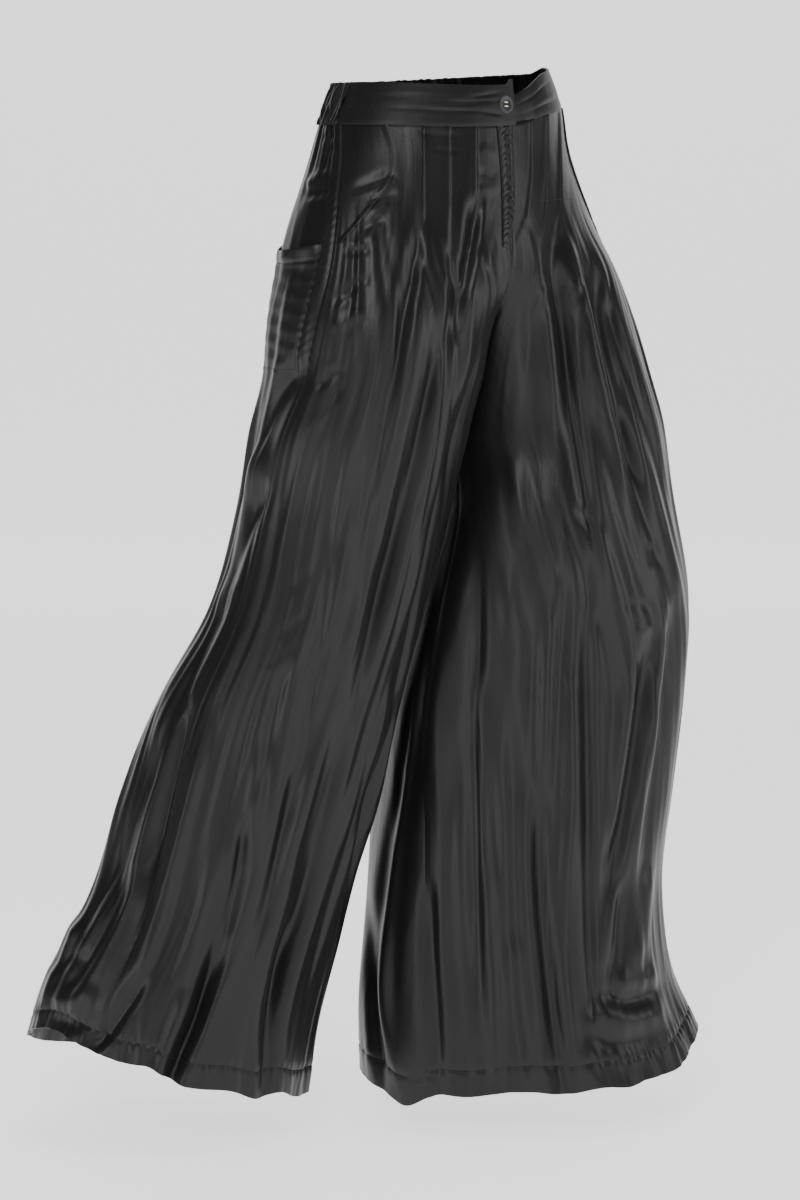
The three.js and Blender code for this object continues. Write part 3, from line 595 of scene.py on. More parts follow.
def on_cloth(leg, face, across, height, out=0.0):
    """Points of the cloth, from the side seam (0) to the centre seam or inseam (1), moved out by a length."""
    at = section(leg, height)
    before_fork = across < FORK_SHARE
    past_fork = (across - FORK_SHARE) / (1 - FORK_SHARE)
    turned = np.where(before_fork, at["fork"] * across / FORK_SHARE, mix(at["fork"], at["open"], past_fork))
    turned = turned * FACE[face]
    spread = smooth((CROTCH - height) / TWIST_SPREADS_OVER)
    angle = turned + at["twist"] * mix((1 - across) ** 2, 1, spread)
    free, outwards = around(leg, at, angle)
    down = height / HEM
    z = height + read(HEM_EDGE[leg], "angle", "rise", turned) * down**HEM_TILT_POWER
    z = z + waist_lift(free.real, angle, height)
    facing = -dot(outwards, VIEW_AWAY)
    across_view = dot(free, VIEW_ACROSS)
    seen = smooth(facing / EDGE_CALM)
    hidden = smooth(-facing / EDGE_CALM)
    for dip in HEM_DIPS[leg]:
        near = np.exp(-(((across_view - dip["at"]) / dip["width"]) ** 2) / 2)
        z = z - dip["drop"] * near * seen * down**HEM_DIP_POWER
    arc = across * ROW * FACE[face]
    calm = smooth((FORK_SHARE + CALM_PAST_FORK - across) / CENTRE_CALM)
    calm = mix(calm, 1, smooth((CALM_ENDS[0] - height) / (CALM_ENDS[0] - CALM_ENDS[1])))
    lift = crease_rise(NEAR_CREASES[leg], across_view, z) * seen
    lift += crease_rise(FAR_CREASES[leg], across_view, z) * hidden
    lift += crease_rise(SIDE_CREASES[leg], arc, z) * (1 - seen) * (1 - SIDE_CREASES_HIDDEN * hidden)
    joined = smooth(across / SEAM_FLAT) * smooth((1 - across) / SEAM_FLAT)
    lift += ripple_rise(leg, face, arc, z) * joined
    lift = lift * calm + fine_rise(leg, arc, z) * joined * mix(FINE_WHERE_CALM, 1, calm)
    lift += pleat_rise(leg, across_view, z) if face == "front" else gather_rise(across, height)
    lift += seam_rise(across, z) + hem_rise(arc, height)
    lift -= TUCK_SINKS * np.clip((height - WAIST_SEAM) / TUCKED, 0, 1)
    free = free + outwards * (lift + out)
    pull = seam_pull(leg, face, height) * smooth((across - PULL_FROM) / (1 - PULL_FROM))
    point = held_back(leg, free + 1j * pull.imag, height)
    x = point.real + pull.real * (1 - smooth((CROTCH - height) / SEAM_OPENS_OVER))
    return np.stack([x, point.imag, z], axis=-1)


def steps_along(points):
    """The distance from the first point of each row of a grid to each of its points."""
    steps = np.linalg.norm(np.diff(points, axis=1), axis=2)
    return np.concatenate([np.zeros((len(points), 1)), np.cumsum(steps, axis=1)], axis=1)


def cloth_mesh(name, points, thick, outward=1, wraps=False):
    """A sheet through a grid of points, its wall inwards, with a UV map in metres along its rows and down."""
    rows, columns = points.shape[:2]
    mesh = bpy.data.meshes.new(name)
    i = np.arange(columns if wraps else columns - 1)
    j = np.arange(rows - 1)[:, None]
    beside = (i + 1) % columns
    upper, lower = j * columns, (j + 1) * columns
    corners = np.stack([upper + i, upper + beside, lower + beside, lower + i], axis=-1).reshape(-1, 4)
    if outward < 0:
        corners = corners[:, ::-1]
    mesh.from_pydata(points.reshape(-1, 3).tolist(), [], corners.tolist())
    along = steps_along(points)
    down = steps_along(points.swapaxes(0, 1)).T
    places = np.stack([along, -down], axis=-1).reshape(-1, 2)[corners.ravel()]
    if wraps:
        ends = corners.ravel() % columns == 0
        last = np.repeat((corners % columns == columns - 1).any(axis=1), 4)
        places[ends & last, 0] = along.max()
    mesh.uv_layers.new(name="cloth").data.foreach_set("uv", places.ravel())
    piece = bpy.data.objects.new(name, mesh)
    bpy.context.collection.objects.link(piece)
    bpy.ops.object.select_all(action="DESELECT")
    piece.select_set(True)
    bpy.context.view_layer.objects.active = piece
    wall = piece.modifiers.new("wall", "SOLIDIFY")
    wall.thickness = thick
    wall.offset = -1
    bpy.ops.object.modifier_apply(modifier=wall.name)
    bpy.ops.object.shade_smooth_by_angle(angle=math.radians(SMOOTH_BELOW))
    return piece


class Wire:
    """The output of a node. Arithmetic on it adds the Math nodes that it needs."""

    def __init__(self, finish, socket):
        self.finish = finish
        self.socket = socket

    def __add__(self, other):
        return self.finish.node("ShaderNodeMath", {"operation": "ADD"}, {0: self, 1: other})

    def __mul__(self, other):
        return self.finish.node("ShaderNodeMath", {"operation": "MULTIPLY"}, {0: self, 1: other})


class Finish:
    """A material, built up node by node in front of its shader."""

    def __init__(self, name):
        self.material = bpy.data.materials.new(name)
        self.material.use_nodes = True
        self.tree = self.material.node_tree
        self.shader = self.tree.nodes["Principled BSDF"]

    def node(self, kind, settings=None, inputs=None, output=0):
        made = self.tree.nodes.new(kind)
        for name, value in (settings or {}).items():
            setattr(made, name, value)
        for name, value in (inputs or {}).items():
            self._feed(made.inputs[name], value)
        return Wire(self, made.outputs[output])

    def shade(self, **values):
        """Sets the shader's own sockets, named with _ for a space."""
        for name, value in values.items():
            self._feed(self.shader.inputs[name.replace("_", " ")], value)

    def _feed(self, socket, value):
        if isinstance(value, Wire):
            self.tree.links.new(value.socket, socket)
        else:
            socket.default_value = value


def black_satin(name, gloss=0.36):
    """Thin black satin: a fine twill of floating threads, streaks along the warp, and faint creasing."""
    finish = Finish(name)
    place = finish.node("ShaderNodeUVMap", {"uv_map": "cloth"})

    def stretched(across, down):
        scale = {0: place, "Scale": (across, down, 1)}
        return finish.node("ShaderNodeMapping", {"vector_type": "POINT"}, scale)

    def grain(across, down, detail, distortion=0.0):
        """Noise drawn out along the cloth, by its grains in a metre across and down."""
        inputs = {"Vector": stretched(across, down), "Scale": 1, "Detail": detail, "Distortion": distortion}
        return finish.node("ShaderNodeTexNoise", {}, inputs)

    streaks = grain(420, 14, 3)
    drape = grain(75, 4.5, 3, 0.4)
    slubs = grain(60, 900, 2)
    patches = grain(14, 6, 3)
    crumple = grain(70, 38, 4, 1.2)
    twill = finish.node(
        "ShaderNodeTexWave",
        {"wave_type": "BANDS", "bands_direction": "DIAGONAL"},
        {"Vector": stretched(700, 700), "Scale": 0.6, "Distortion": 1.0, "Detail": 1},
    )
    dark = (0.0044, 0.0042, 0.0043, 1)
    pale = (0.0090, 0.0085, 0.0088, 1)
    worn = patches * 0.6 + streaks * 0.4
    colour = finish.node("ShaderNodeMix", {"data_type": "RGBA"}, {0: worn, 6: dark, 7: pale}, output=2)
    height = drape * 0.0005 + crumple * 0.00028 + streaks * 0.00012 + slubs * 0.00003 + twill * 0.00002
    bump = finish.node("ShaderNodeBump", {}, {"Strength": 0.8, "Distance": 1.0, "Height": height})
    finish.shade(Base_Color=colour, Roughness=streaks * 0.10 + patches * 0.12 + (gloss - 0.11), Normal=bump)
    finish.shade(Specular_IOR_Level=0.28, Sheen_Weight=0.03, Sheen_Roughness=0.4)
    return finish.material


def finish_piece(piece, material, slot, *nodes):
    """Gives a piece its material, puts it on the body and in place of its nodes. The slot is not used."""
    piece.data.materials.clear()
    piece.data.materials.append(material)
    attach(piece, "root")
    if nodes:
        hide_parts(*nodes)
    return piece


PANEL_BOTTOM = HEM + HEM_HEIGHT
PANEL_HEIGHTS = np.concatenate(
    [
        np.linspace(WAIST_SEAM + TUCKED, TORSO_END, TORSO_ROWS, endpoint=False),
        np.linspace(TORSO_END, PANEL_BOTTOM, LEG_ROWS + 1),
    ]
)

satin = black_satin("black satin")
for leg in ("right", "left"):
    for face in ("front", "back"):
        across, heights = np.meshgrid(np.linspace(0, 1, COLUMNS[face] + 1), PANEL_HEIGHTS)
        points = on_cloth(leg, face, across, heights)
        panel = cloth_mesh(f"cloth_{face}_{leg}", points, CLOTH, SIDE[leg] * FACE[face])
        finish_piece(panel, satin, "cloth", f"{face}_{leg}")


# The hems
# Each leg's lower edge is turned up 26 mm inside and stitched, so it is a ring of doubled cloth whose outer
# face runs on from the panels.
HEM_CLOTH = 0.0014
HEM_ROWS = 10
for leg in ("right", "left"):
    round_front = np.linspace(0, 1, COLUMNS["front"] + 1)
    round_back = np.linspace(1, 0, COLUMNS["back"] + 1)[1:-1]
    share = np.concatenate([round_front, round_back])
    faces = np.array(["front"] * len(round_front) + ["back"] * len(round_back))
    heights = np.linspace(HEM + HEM_HEIGHT, HEM, HEM_ROWS + 1)
    points = np.zeros((len(heights), len(share), 3))
    for face in ("front", "back"):
        mine = faces == face
        across, rows = np.meshgrid(share[mine], heights)
        points[:, mine] = on_cloth(leg, face, across, rows)
    hem = cloth_mesh(f"cloth_hem_{leg}", points, HEM_CLOTH, SIDE[leg], wraps=True)
    finish_piece(hem, satin, "cloth", f"hem_{leg}")


# The waistband
# A folded band 40 mm high, stiffer than the panels. Its right end laps over its left at the front and buttons
# there. The front halves are smooth with a few drag lines. An elastic inside draws the back into gathers.
BAND_CLOTH = 0.0020
BAND_TOP = (0.119, 0.097)
BAND_BOTTOM = (0.139, 0.101)
BAND_ROWS = 26
BAND_COLUMNS = {"front": 190, "back": 320}
BAND_CROWN = 0.0007
BAND_EDGE = {"round": 0.0005, "steps": 2, "angle": 50}
BAND_TURNED_IN = (0.0025, 0.0050, 0.0075)  # the lower edge's turning, towards the inside
LAP_END = 0.013
UNDERLAP = 0.024
UNDER_SINKS = {"before": 14, "over": 8, "by": 0.0034}
LEFT_TOP_DIP = {"drop": 0.012, "from": 0.010, "over": 0.062}
# The lapped end's top corner is crumpled upwards.
RIGHT_CORNER = {"rise": 0.0055, "from": 0.003, "over": 0.006, "power": 6}
BAND_LINES = table(
    "start end height slope depth width",
    (94, 126, 0.58, -0.04, 0.0016, 0.05),
    (99, 150, 0.36, 0.03, 0.0013, 0.04),
    (104, 136, 0.46, 0.02, -0.0009, 0.05),
    (92, 112, 0.74, -0.10, 0.0012, 0.05),
    (112, 158, 0.80, 0.02, -0.0006, 0.06),
    (140, 172, 0.66, 0.05, 0.0007, 0.05),
    (90, 104, 0.28, 0.10, 0.0010, 0.05),
    (40, 80, 0.66, -0.22, 0.0017, 0.06),
    (36, 76, 0.40, -0.18, -0.0010, 0.06),
    (30, 78, 0.24, -0.06, 0.0012, 0.04),
    (168, 180, 0.35, 0.10, 0.0018, 0.06),
    (170, 180, 0.55, -0.10, 0.0016, 0.05),
)
BAND_LINE_SPREAD = 0.36
BAND_GATHERS = {"waves": 14, "depth": 0.0020, "fine_waves": 37, "fine_depth": 0.0011}
BAND_SWAY = {"by": 1.4, "up": 3, "fine_by": 2.2, "fine_up": 5, "fine_round": 4}


def on_band(angle, share, out=0.0, gathered=False):
    """Points of the waistband, at angles from the left side round the front, and shares of its height."""
    a = np.radians(angle)
    height = mix(WAIST_SEAM, -WAIST_SEAM, share)
    rise = BAND_CROWN * np.sin(math.pi * np.clip(share, 0, 1)) + out
    for line in BAND_LINES:
        middle = (line["start"] + line["end"]) / 2
        along = (angle - middle) / (line["end"] - line["start"])
        near = np.exp(-((along / BAND_LINE_SPREAD) ** 2))
        level = line["height"] + line["slope"] * along
        rise = rise - line["depth"] * near * np.exp(-(((share - level) / line["width"]) ** 2))
    if gathered:
        turn = 2 * a - 2 * math.pi
        wander = BAND_SWAY["by"] * np.sin(BAND_SWAY["up"] * share)
        rise = rise + BAND_GATHERS["depth"] * np.sin(turn * BAND_GATHERS["waves"] + wander)
        wander = BAND_SWAY["fine_by"] * np.sin(BAND_SWAY["fine_up"] * share + BAND_SWAY["fine_round"] * a)
        rise = rise + BAND_GATHERS["fine_depth"] * np.sin(turn * BAND_GATHERS["fine_waves"] + wander)
    wide = mix(BAND_BOTTOM[0], BAND_TOP[0], share) + rise
    deep = mix(BAND_BOTTOM[1], BAND_TOP[1], share) + rise
    x = wide * np.cos(a)
    z = height + waist_lift(x, angle, np.full_like(height, WAIST_SEAM))
    return np.stack([x, -deep * np.sin(a), z], axis=-1)


def angle_at_front(distance):
    return 90 + math.degrees(distance / BAND_BOTTOM[0])


def band_piece(part, start, end, sunk=None, gathered=False, top_dip=None):
    """One part of the waistband, between two angles, with its wall, its rounded edges and its material."""
    columns = BAND_COLUMNS["back" if part == "back" else "front"]
    rows = np.concatenate([np.linspace(1, 0, BAND_ROWS + 1), np.zeros(len(BAND_TURNED_IN))])
    turned_in = np.concatenate([np.zeros(BAND_ROWS + 1), BAND_TURNED_IN])
    angle, share = np.meshgrid(np.linspace(end, start, columns + 1), rows)
    points = on_band(angle, share, -turned_in[:, None] - (0.0 if sunk is None else sunk(angle)), gathered)
    if top_dip is not None:
        points[..., 2] -= top_dip(points[..., 0], share)
    piece = cloth_mesh(f"cloth_band_{part}", points, BAND_CLOTH)
    edge = piece.modifiers.new("edge", "BEVEL")
    edge.width = BAND_EDGE["round"]
    edge.segments = BAND_EDGE["steps"]
    edge.angle_limit = math.radians(BAND_EDGE["angle"])
    bpy.ops.object.modifier_apply(modifier=edge.name)
    return finish_piece(piece, satin_band, "cloth", f"band_{part}")


def under_lap(angle):
    over = smooth((angle - lap_edge + UNDER_SINKS["before"]) / UNDER_SINKS["over"])
    return over * UNDER_SINKS["by"]


def left_top_dip(x, share):
    fade = 1 - smooth((x - LEFT_TOP_DIP["from"]) / LEFT_TOP_DIP["over"])
    return LEFT_TOP_DIP["drop"] * share**2 * fade


def right_corner(x, share):
    near = smooth((x - RIGHT_CORNER["from"]) / RIGHT_CORNER["over"])
    return -RIGHT_CORNER["rise"] * share ** RIGHT_CORNER["power"] * near


satin_band = black_satin("black satin, doubled", gloss=0.46)
lap_edge = angle_at_front(-LAP_END)
under_end = angle_at_front(UNDERLAP)
bands = {
    "right": band_piece("right", lap_edge, 180, top_dip=right_corner),
    "left": band_piece("left", 0, under_end, sunk=under_lap, top_dip=left_top_dip),
    "back": band_piece("back", 180, 360, gathered=True),
}


# The front pockets
# Each opening slants from the waistband to the side seam, and is edged with a narrow turned band of the same
# satin, stitched down along its length.
WELT = {"width": 0.009, "below": 0.001, "start": 0.225, "foot": 0.015, "bulge": 0.1, "length": 0.128}
WELT_OUT = {"edge": 0.0016, "inner": 0.0003, "turn": 1.2}
WELT_GRID = (90, 8)
ROW_STEPS = 60


def row_lengths(leg, face, heights):
    across, rows = np.meshgrid(np.linspace(0, 1, ROW_STEPS + 1), heights)
    return steps_along(on_cloth(leg, face, across, rows))[:, -1]


def cloth_and_normal(leg, face, across, height):
    """Points of the cloth and its outward directions there."""
    small = 1e-3
    points = on_cloth(leg, face, across, height)
    run = on_cloth(leg, face, across + small, height) - on_cloth(leg, face, across - small, height)
    drop = on_cloth(leg, face, across, height - small) - on_cloth(leg, face, across, height + small)
    normal = np.cross(run, drop) * SIDE[leg] * FACE[face]
    return points, normal / np.linalg.norm(normal, axis=-1, keepdims=True)


def laid_on(leg, face, across, height, out):
    points, normals = cloth_and_normal(leg, face, across, height)
    return points + normals * np.asarray(out)[..., None]


def welt_place(leg, v):
    """Where the opening's edge band starts and ends across the front panel, and at what height."""
    height = WAIST_SEAM - WELT["below"] - v * WELT["length"]
    share = WELT["width"] / row_lengths(leg, "front", height)
    start = WELT["foot"] + WELT["start"] * (1 - v**3) + WELT["bulge"] * np.sin(math.pi * v) * (1 - v)
    return start, start + share, height


for leg in ("right", "left"):
    v = np.linspace(0, 1, WELT_GRID[0] + 1)
    start, end, height = welt_place(leg, v)
    u = np.linspace(0, 1, WELT_GRID[1] + 1)
    across = start[:, None] + (end - start)[:, None] * u
    roll = mix(WELT_OUT["inner"], WELT_OUT["edge"], smooth(u * WELT_OUT["turn"])) * np.ones_like(across)
    points = laid_on(leg, "front", across, height[:, None] * np.ones_like(across), roll)
    welt = cloth_mesh(f"cloth_pocket_welt_{leg}", points, CLOTH, SIDE[leg])
    finish_piece(welt, satin, "cloth", f"pocket_welt_{leg}")


# The back patch pockets
# A square patch is sewn on the back panel behind each side seam, on three sides. Its mouth is turned under,
# and gapes as the cloth hangs.
PATCH = {"near": 1 / 28, "far": 11 / 28, "top": -0.1502, "bottom": -0.2801, "out": 0.0006, "puff": 0.0010}
PATCH_MOUTH = {"sag": 0.008, "turned": 0.12, "line": 0.012, "drawn": 0.0006}
PATCH_GAPE = {"out": 0.0060, "reach": 0.13, "lean": 0.6, "sharp": 1.5}
PATCH_SEWN = 0.05  # the share of its width over which it lies down to its sewn edges
PATCH_FOLDS = {"long": 0.0005, "across": 0.0002, "edge": 0.0002, "edge_waves": 95, "edge_reach": 0.04}
PATCH_WAVES = {"long": (19, 7), "across": (9, 47)}  # round and down the patch
PATCH_GRID = 78


def patch_points(leg, u, v, above=0.0):
    """Points of a patch pocket, u from the side seam and v down from its mouth."""
    across = mix(PATCH["near"], PATCH["far"], u)
    height = mix(PATCH["top"], PATCH["bottom"], v) - PATCH_MOUTH["sag"] * np.sin(math.pi * u) * (1 - v) ** 4
    from_side = np.minimum(u, 1 - u)
    sewn = np.clip(from_side / PATCH_SEWN, 0, 1) * np.clip((1 - v) / PATCH_SEWN, 0, 1)
    middle = np.sin(math.pi * u)
    puff = PATCH["puff"] * middle * np.sin(math.pi * np.clip(0.25 + 0.75 * v, 0, 1))
    mouth = np.sin(math.pi * np.clip(u, 0, 1) ** PATCH_GAPE["lean"]) ** PATCH_GAPE["sharp"]
    gape = PATCH_GAPE["out"] * mouth * np.exp(-((v / PATCH_GAPE["reach"]) ** 2))
    long, across_it = (PATCH_FOLDS[way] * np.sin(m * u + n * v) for way, (m, n) in PATCH_WAVES.items())
    wrinkles = long * middle + across_it
    from_line = (v - PATCH_MOUTH["turned"]) / PATCH_MOUTH["line"]
    hem_line = -PATCH_MOUTH["drawn"] * np.exp(-(from_line**2))
    edge_pucker = PATCH_FOLDS["edge"] * np.sin(PATCH_FOLDS["edge_waves"] * v)
    edge_pucker = edge_pucker * np.exp(-from_side / PATCH_FOLDS["edge_reach"])
    out = PATCH["out"] + sewn * (puff + gape + wrinkles + hem_line) + edge_pucker + above
    return laid_on(leg, "back", across, height, out)


for leg in ("right", "left"):
    steps = np.linspace(0, 1, PATCH_GRID + 1)
    u, v = np.meshgrid(steps, steps)
    patch = cloth_mesh(f"cloth_back_pocket_{leg}", patch_points(leg, u, v), 2 * CLOTH, -SIDE[leg])
    finish_piece(patch, satin, "cloth", f"back_pocket_{leg}")


# The fly
# A narrow placket of the same satin closes the front over the centre seam. The stitching that holds it draws
# it up along its middle, and it runs out to a point at its foot.
FLY = {"length": 0.134, "out": 0.0013, "edge": 0.0003, "rows": 150, "columns": 22}
FLY_SIDES = table(
    "height near far",
    (0.000, -0.0125, 0.0095),
    (-0.040, -0.0105, 0.0085),
    (-0.080, -0.0105, 0.0070),
    (-0.110, -0.0120, 0.0030),
    (-0.134, -0.0140, -0.0070),
)
FLY_PUCKER = {"depth": 0.00045, "spacing": 0.0071, "reach": 0.0032, "middle": 0.45, "sunk": 0.6, "waves": 0.7}
FLY_SWAY = {"slant": 0.5, "by": 3.1, "down": 61, "fine_by": 1.3, "fine_down": 173}


def fly_points(u, v, above=0.0):
    drop = -v * FLY["length"]
    near, far = (read(FLY_SIDES, "height", side, drop) for side in ("near", "far"))
    x = mix(near, far, u)
    height = WAIST_SEAM + drop
    points = np.zeros(u.shape + (3,))
    from_middle = (u - FLY_PUCKER["middle"]) * (far - near)
    turn = 2 * math.pi * (drop + FLY_SWAY["slant"] * np.abs(from_middle)) / FLY_PUCKER["spacing"]
    turn += FLY_SWAY["by"] * np.sin(FLY_SWAY["down"] * drop)
    turn += FLY_SWAY["fine_by"] * np.sin(FLY_SWAY["fine_down"] * drop)
    drawn = np.exp(-np.abs(from_middle) / FLY_PUCKER["reach"])
    out = mix(FLY["edge"], FLY["out"], np.sin(math.pi * np.clip(u, 0, 1)) ** 0.6)
    pucker = FLY_PUCKER["waves"] * np.sin(turn) - FLY_PUCKER["sunk"]
    out = out + FLY_PUCKER["depth"] * drawn * pucker + above
    for leg in ("right", "left"):
        mine = x <= 0 if leg == "right" else x > 0
        lengths = row_lengths(leg, "front", height[:, 0])[:, None] * np.ones_like(x)
        across = 1 - np.abs(x) / lengths
        points[mine] = laid_on(leg, "front", across[mine], height[mine], out[mine])
    points[..., 0] = x
    return points


u, v = np.meshgrid(np.linspace(0, 1, FLY["columns"] + 1), np.linspace(0, 1, FLY["rows"] + 1))
fly = cloth_mesh("cloth_fly_placket", fly_points(u, v), CLOTH, -1)
finish_piece(fly, satin, "cloth", "fly_placket")


# The stitching
# Black thread holds the hems, pleats, pockets and fly in plain rows of short stitches. Each stitch is a small
# raised loop of the thread.
STITCH = {"pitch": 0.0031, "share": 0.74, "thick": 0.00030, "sides": 5, "lift": 0.1, "arch": 0.7}
STITCH_RINGS = ((0.0, 0.35), (0.2, 1.0), (0.8, 1.0), (1.0, 0.35))
ROW_ABOVE = 0.0001
HEM_ROW = 0.0016  # the hem's row of stitches lies this far below its seam
PLEAT_ROW = {"below": 0.004, "inside": 0.0022}
WELT_ROW = {"across": 0.72, "out": 0.0013}
PATCH_ROW = 0.025
SIDE_ROW_HEIGHTS = (-0.15, -0.28)  # between them the side rows of a patch take their outward directions
FLY_ROWS = (0.14, 0.86)
ROW_POINTS = {"hem": 300, "pleat": 24, "pocket": 60, "foot": 40, "curved": 30, "fly": 80, "search": 400}


def stitches(name, lines, pitch=STITCH["pitch"], thick=STITCH["thick"]):
    """A mesh of stitches along lines, each given as points and the outward directions there."""
    corners, faces = [], []
    sides = STITCH["sides"]
    turns = 2 * math.pi * np.arange(sides) / sides
    for points, outwards in lines:
        along = steps_along(points[None])[0]
        count = max(1, round(along[-1] / pitch))
        starts = (np.arange(count) + (1 - STITCH["share"]) / 2) * along[-1] / count
        marks = np.stack([starts, starts + STITCH["share"] * along[-1] / count])
        ends = np.stack([np.interp(marks, along, points[:, k]) for k in range(3)], axis=-1)
        normal = np.stack([np.interp(marks.mean(0), along, outwards[:, k]) for k in range(3)], axis=-1)
        run = ends[1] - ends[0]
        across = np.cross(run, normal)
        across /= np.linalg.norm(across, axis=1, keepdims=True)
        for k in range(count):
            first = len(corners)
            for share, fat in STITCH_RINGS:
                lift = thick * (STITCH["lift"] + STITCH["arch"] * math.sin(math.pi * share))
                lifted = ends[0][k] + share * run[k] + normal[k] * lift
                for turn in turns:
                    ring = math.cos(turn) * across[k] + math.sin(turn) * normal[k]
                    corners.append(lifted + thick * fat * ring)
            for ring in range(len(STITCH_RINGS) - 1):
                for side in range(sides):
                    a = first + ring * sides + side
                    b = first + ring * sides + (side + 1) % sides
                    faces.append((a, b, b + sides, a + sides))
            faces.append(tuple(range(first + sides - 1, first - 1, -1)))
            last = first + (len(STITCH_RINGS) - 1) * sides
            faces.append(tuple(range(last, last + sides)))
    mesh = bpy.data.meshes.new(name)
    mesh.from_pydata([tuple(corner) for corner in corners], [], faces)
    made = bmesh.new()
    made.from_mesh(mesh)
    bmesh.ops.recalc_face_normals(made, faces=made.faces)
    made.to_mesh(mesh)
    made.free()
    mesh.shade_smooth()
    piece = bpy.data.objects.new(name, mesh)
    bpy.context.collection.objects.link(piece)
    return piece


def across_where(leg, height, across_view):
    """The share across the front panel at which it lies at a distance across the view, for each height."""
    found = []
    for level, wanted in zip(height, across_view):
        across = np.linspace(0, 1, ROW_POINTS["search"])
        place = on_cloth(leg, "front", across, np.full_like(across, level))
        seen = dot(place[:, 0] + 1j * place[:, 1], VIEW_ACROSS)
        first = np.argmax(seen) if leg == "left" else 0
        order = np.argsort(seen[first:])
        found.append(np.interp(wanted, seen[first:][order], across[first:][order]))
    return np.array(found)


def thread(name, colour, roughness):
    finish = Finish(name)
    place = finish.node("ShaderNodeTexCoord", output=3)
    strands = finish.node("ShaderNodeTexNoise", {}, {"Vector": place, "Scale": 3000, "Detail": 2})
    paler = tuple(1.5 * value for value in colour) + (1,)
    tones = {0: strands, 6: colour + (1,), 7: paler}
    tone = finish.node("ShaderNodeMix", {"data_type": "RGBA"}, tones, output=2)
    bump = finish.node("ShaderNodeBump", {}, {"Strength": 0.5, "Distance": 0.0001, "Height": strands})
    finish.shade(Base_Color=tone, Roughness=strands * 0.2 + roughness, Normal=bump)
    return finish.material


def patch_row(leg, u, v, top=PATCH["top"], bottom=PATCH["bottom"]):
    """A row of stitches on a patch pocket, with the panel's outward directions between two heights."""
    across = mix(PATCH["near"], PATCH["far"], u)
    _, outwards = cloth_and_normal(leg, "back", across, mix(top, bottom, v))
    return patch_points(leg, u, v, ROW_ABOVE), outwards


black_thread = thread("black thread", (0.016, 0.015, 0.015), 0.5)
lines = []
for leg in ("right", "left"):
    for face in ("front", "back"):
        across = np.linspace(0, 1, ROW_POINTS["hem"])
        level = np.full_like(across, HEM + HEM_HEIGHT - HEM_ROW)
        lines.append(cloth_and_normal(leg, face, across, level))
    for pleat in PLEATS[leg]:
        foot = WAIST_SEAM - PLEAT["length"]
        level = np.linspace(WAIST_SEAM - PLEAT_ROW["below"], foot, ROW_POINTS["pleat"])
        inside = pleat["edge"] + SIDE[leg] * PLEAT_ROW["inside"] * np.ones_like(level)
        lines.append(cloth_and_normal(leg, "front", across_where(leg, level, inside), level))
    start, end, level = welt_place(leg, np.linspace(0.03, 0.97, ROW_POINTS["pocket"]))
    points, outwards = cloth_and_normal(leg, "front", mix(start, end, WELT_ROW["across"]), level)
    lines.append((points + outwards * WELT_ROW["out"], outwards))
    run = np.linspace(0.02, 0.98, ROW_POINTS["pocket"])
    lines.append(patch_row(leg, PATCH_ROW * np.ones_like(run), run, *SIDE_ROW_HEIGHTS))
    lines.append(patch_row(leg, (1 - PATCH_ROW) * np.ones_like(run), run, *SIDE_ROW_HEIGHTS))
    lines.append(patch_row(leg, run, PATCH_MOUTH["turned"] * np.ones_like(run)))
    lines.append(patch_row(leg, run, (1 - PATCH_ROW) * np.ones_like(run)))

# The row across the left pleats' feet, and the curved row from the right pocket down to the first pleat
FOOT_ROW = np.linspace(0.088, 0.136, ROW_POINTS["foot"])
level = np.full_like(FOOT_ROW, WAIST_SEAM - PLEAT["length"] + PLEAT_ROW["below"])
lines.append(cloth_and_normal("left", "front", across_where("left", level, FOOT_ROW), level))
CURVED_ROW = table(
    "height across_view",
    (-0.024, -0.058),
    (-0.030, -0.040),
    (-0.040, -0.028),
    (-0.052, -0.020),
    (-0.070, -0.017),
)
level = np.linspace(CURVED_ROW["height"][0], CURVED_ROW["height"][-1], ROW_POINTS["curved"])
row = read(CURVED_ROW, "height", "across_view", level)
lines.append(cloth_and_normal("right", "front", across_where("right", level, row), level))
for side in FLY_ROWS:
    u, v = np.meshgrid([side], np.linspace(0.01, 0.94, ROW_POINTS["fly"]))
    points = fly_points(u, v, ROW_ABOVE)[:, 0]
    lines.append((points, np.tile([0.0, -1.0, 0.0], (len(points), 1))))
stitching = stitches("stitching_black", lines)
finish_piece(stitching, black_thread, "thread")


# The buttonhole
# A slit across the right end of the waistband, bound on both sides with close stitches of black thread and
# barred at its end.
HOLE = {"start": 90.5, "end": 100.2, "share": 0.47, "half": 0.042, "bars": 40}
HOLE_EDGE = np.array([0.15, 1.0])  # each bar runs from near the slit to the full half width
HOLE_BAR = {"past": 0.5, "half": 1.1, "out": 0.0002}
HOLE_OUTWARDS = np.tile([0.0, -1.0, 0.1], (2, 1))
bars = []
for angle in np.linspace(HOLE["start"], HOLE["end"], HOLE["bars"]):
    for side in (-1, 1):
        share = HOLE["share"] + side * HOLE["half"] * HOLE_EDGE
        bars.append((on_band(np.full(2, angle), share, ROW_ABOVE), HOLE_OUTWARDS))
share = HOLE["share"] + HOLE["half"] * HOLE_BAR["half"] * np.array([-1, 1])
ends = on_band(np.full(2, HOLE["end"] + HOLE_BAR["past"]), share, HOLE_BAR["out"])
bars.append((ends, HOLE_OUTWARDS))
buttonhole = stitches("stitching_buttonhole", bars, pitch=1.0)
finish_piece(buttonhole, black_thread, "thread")


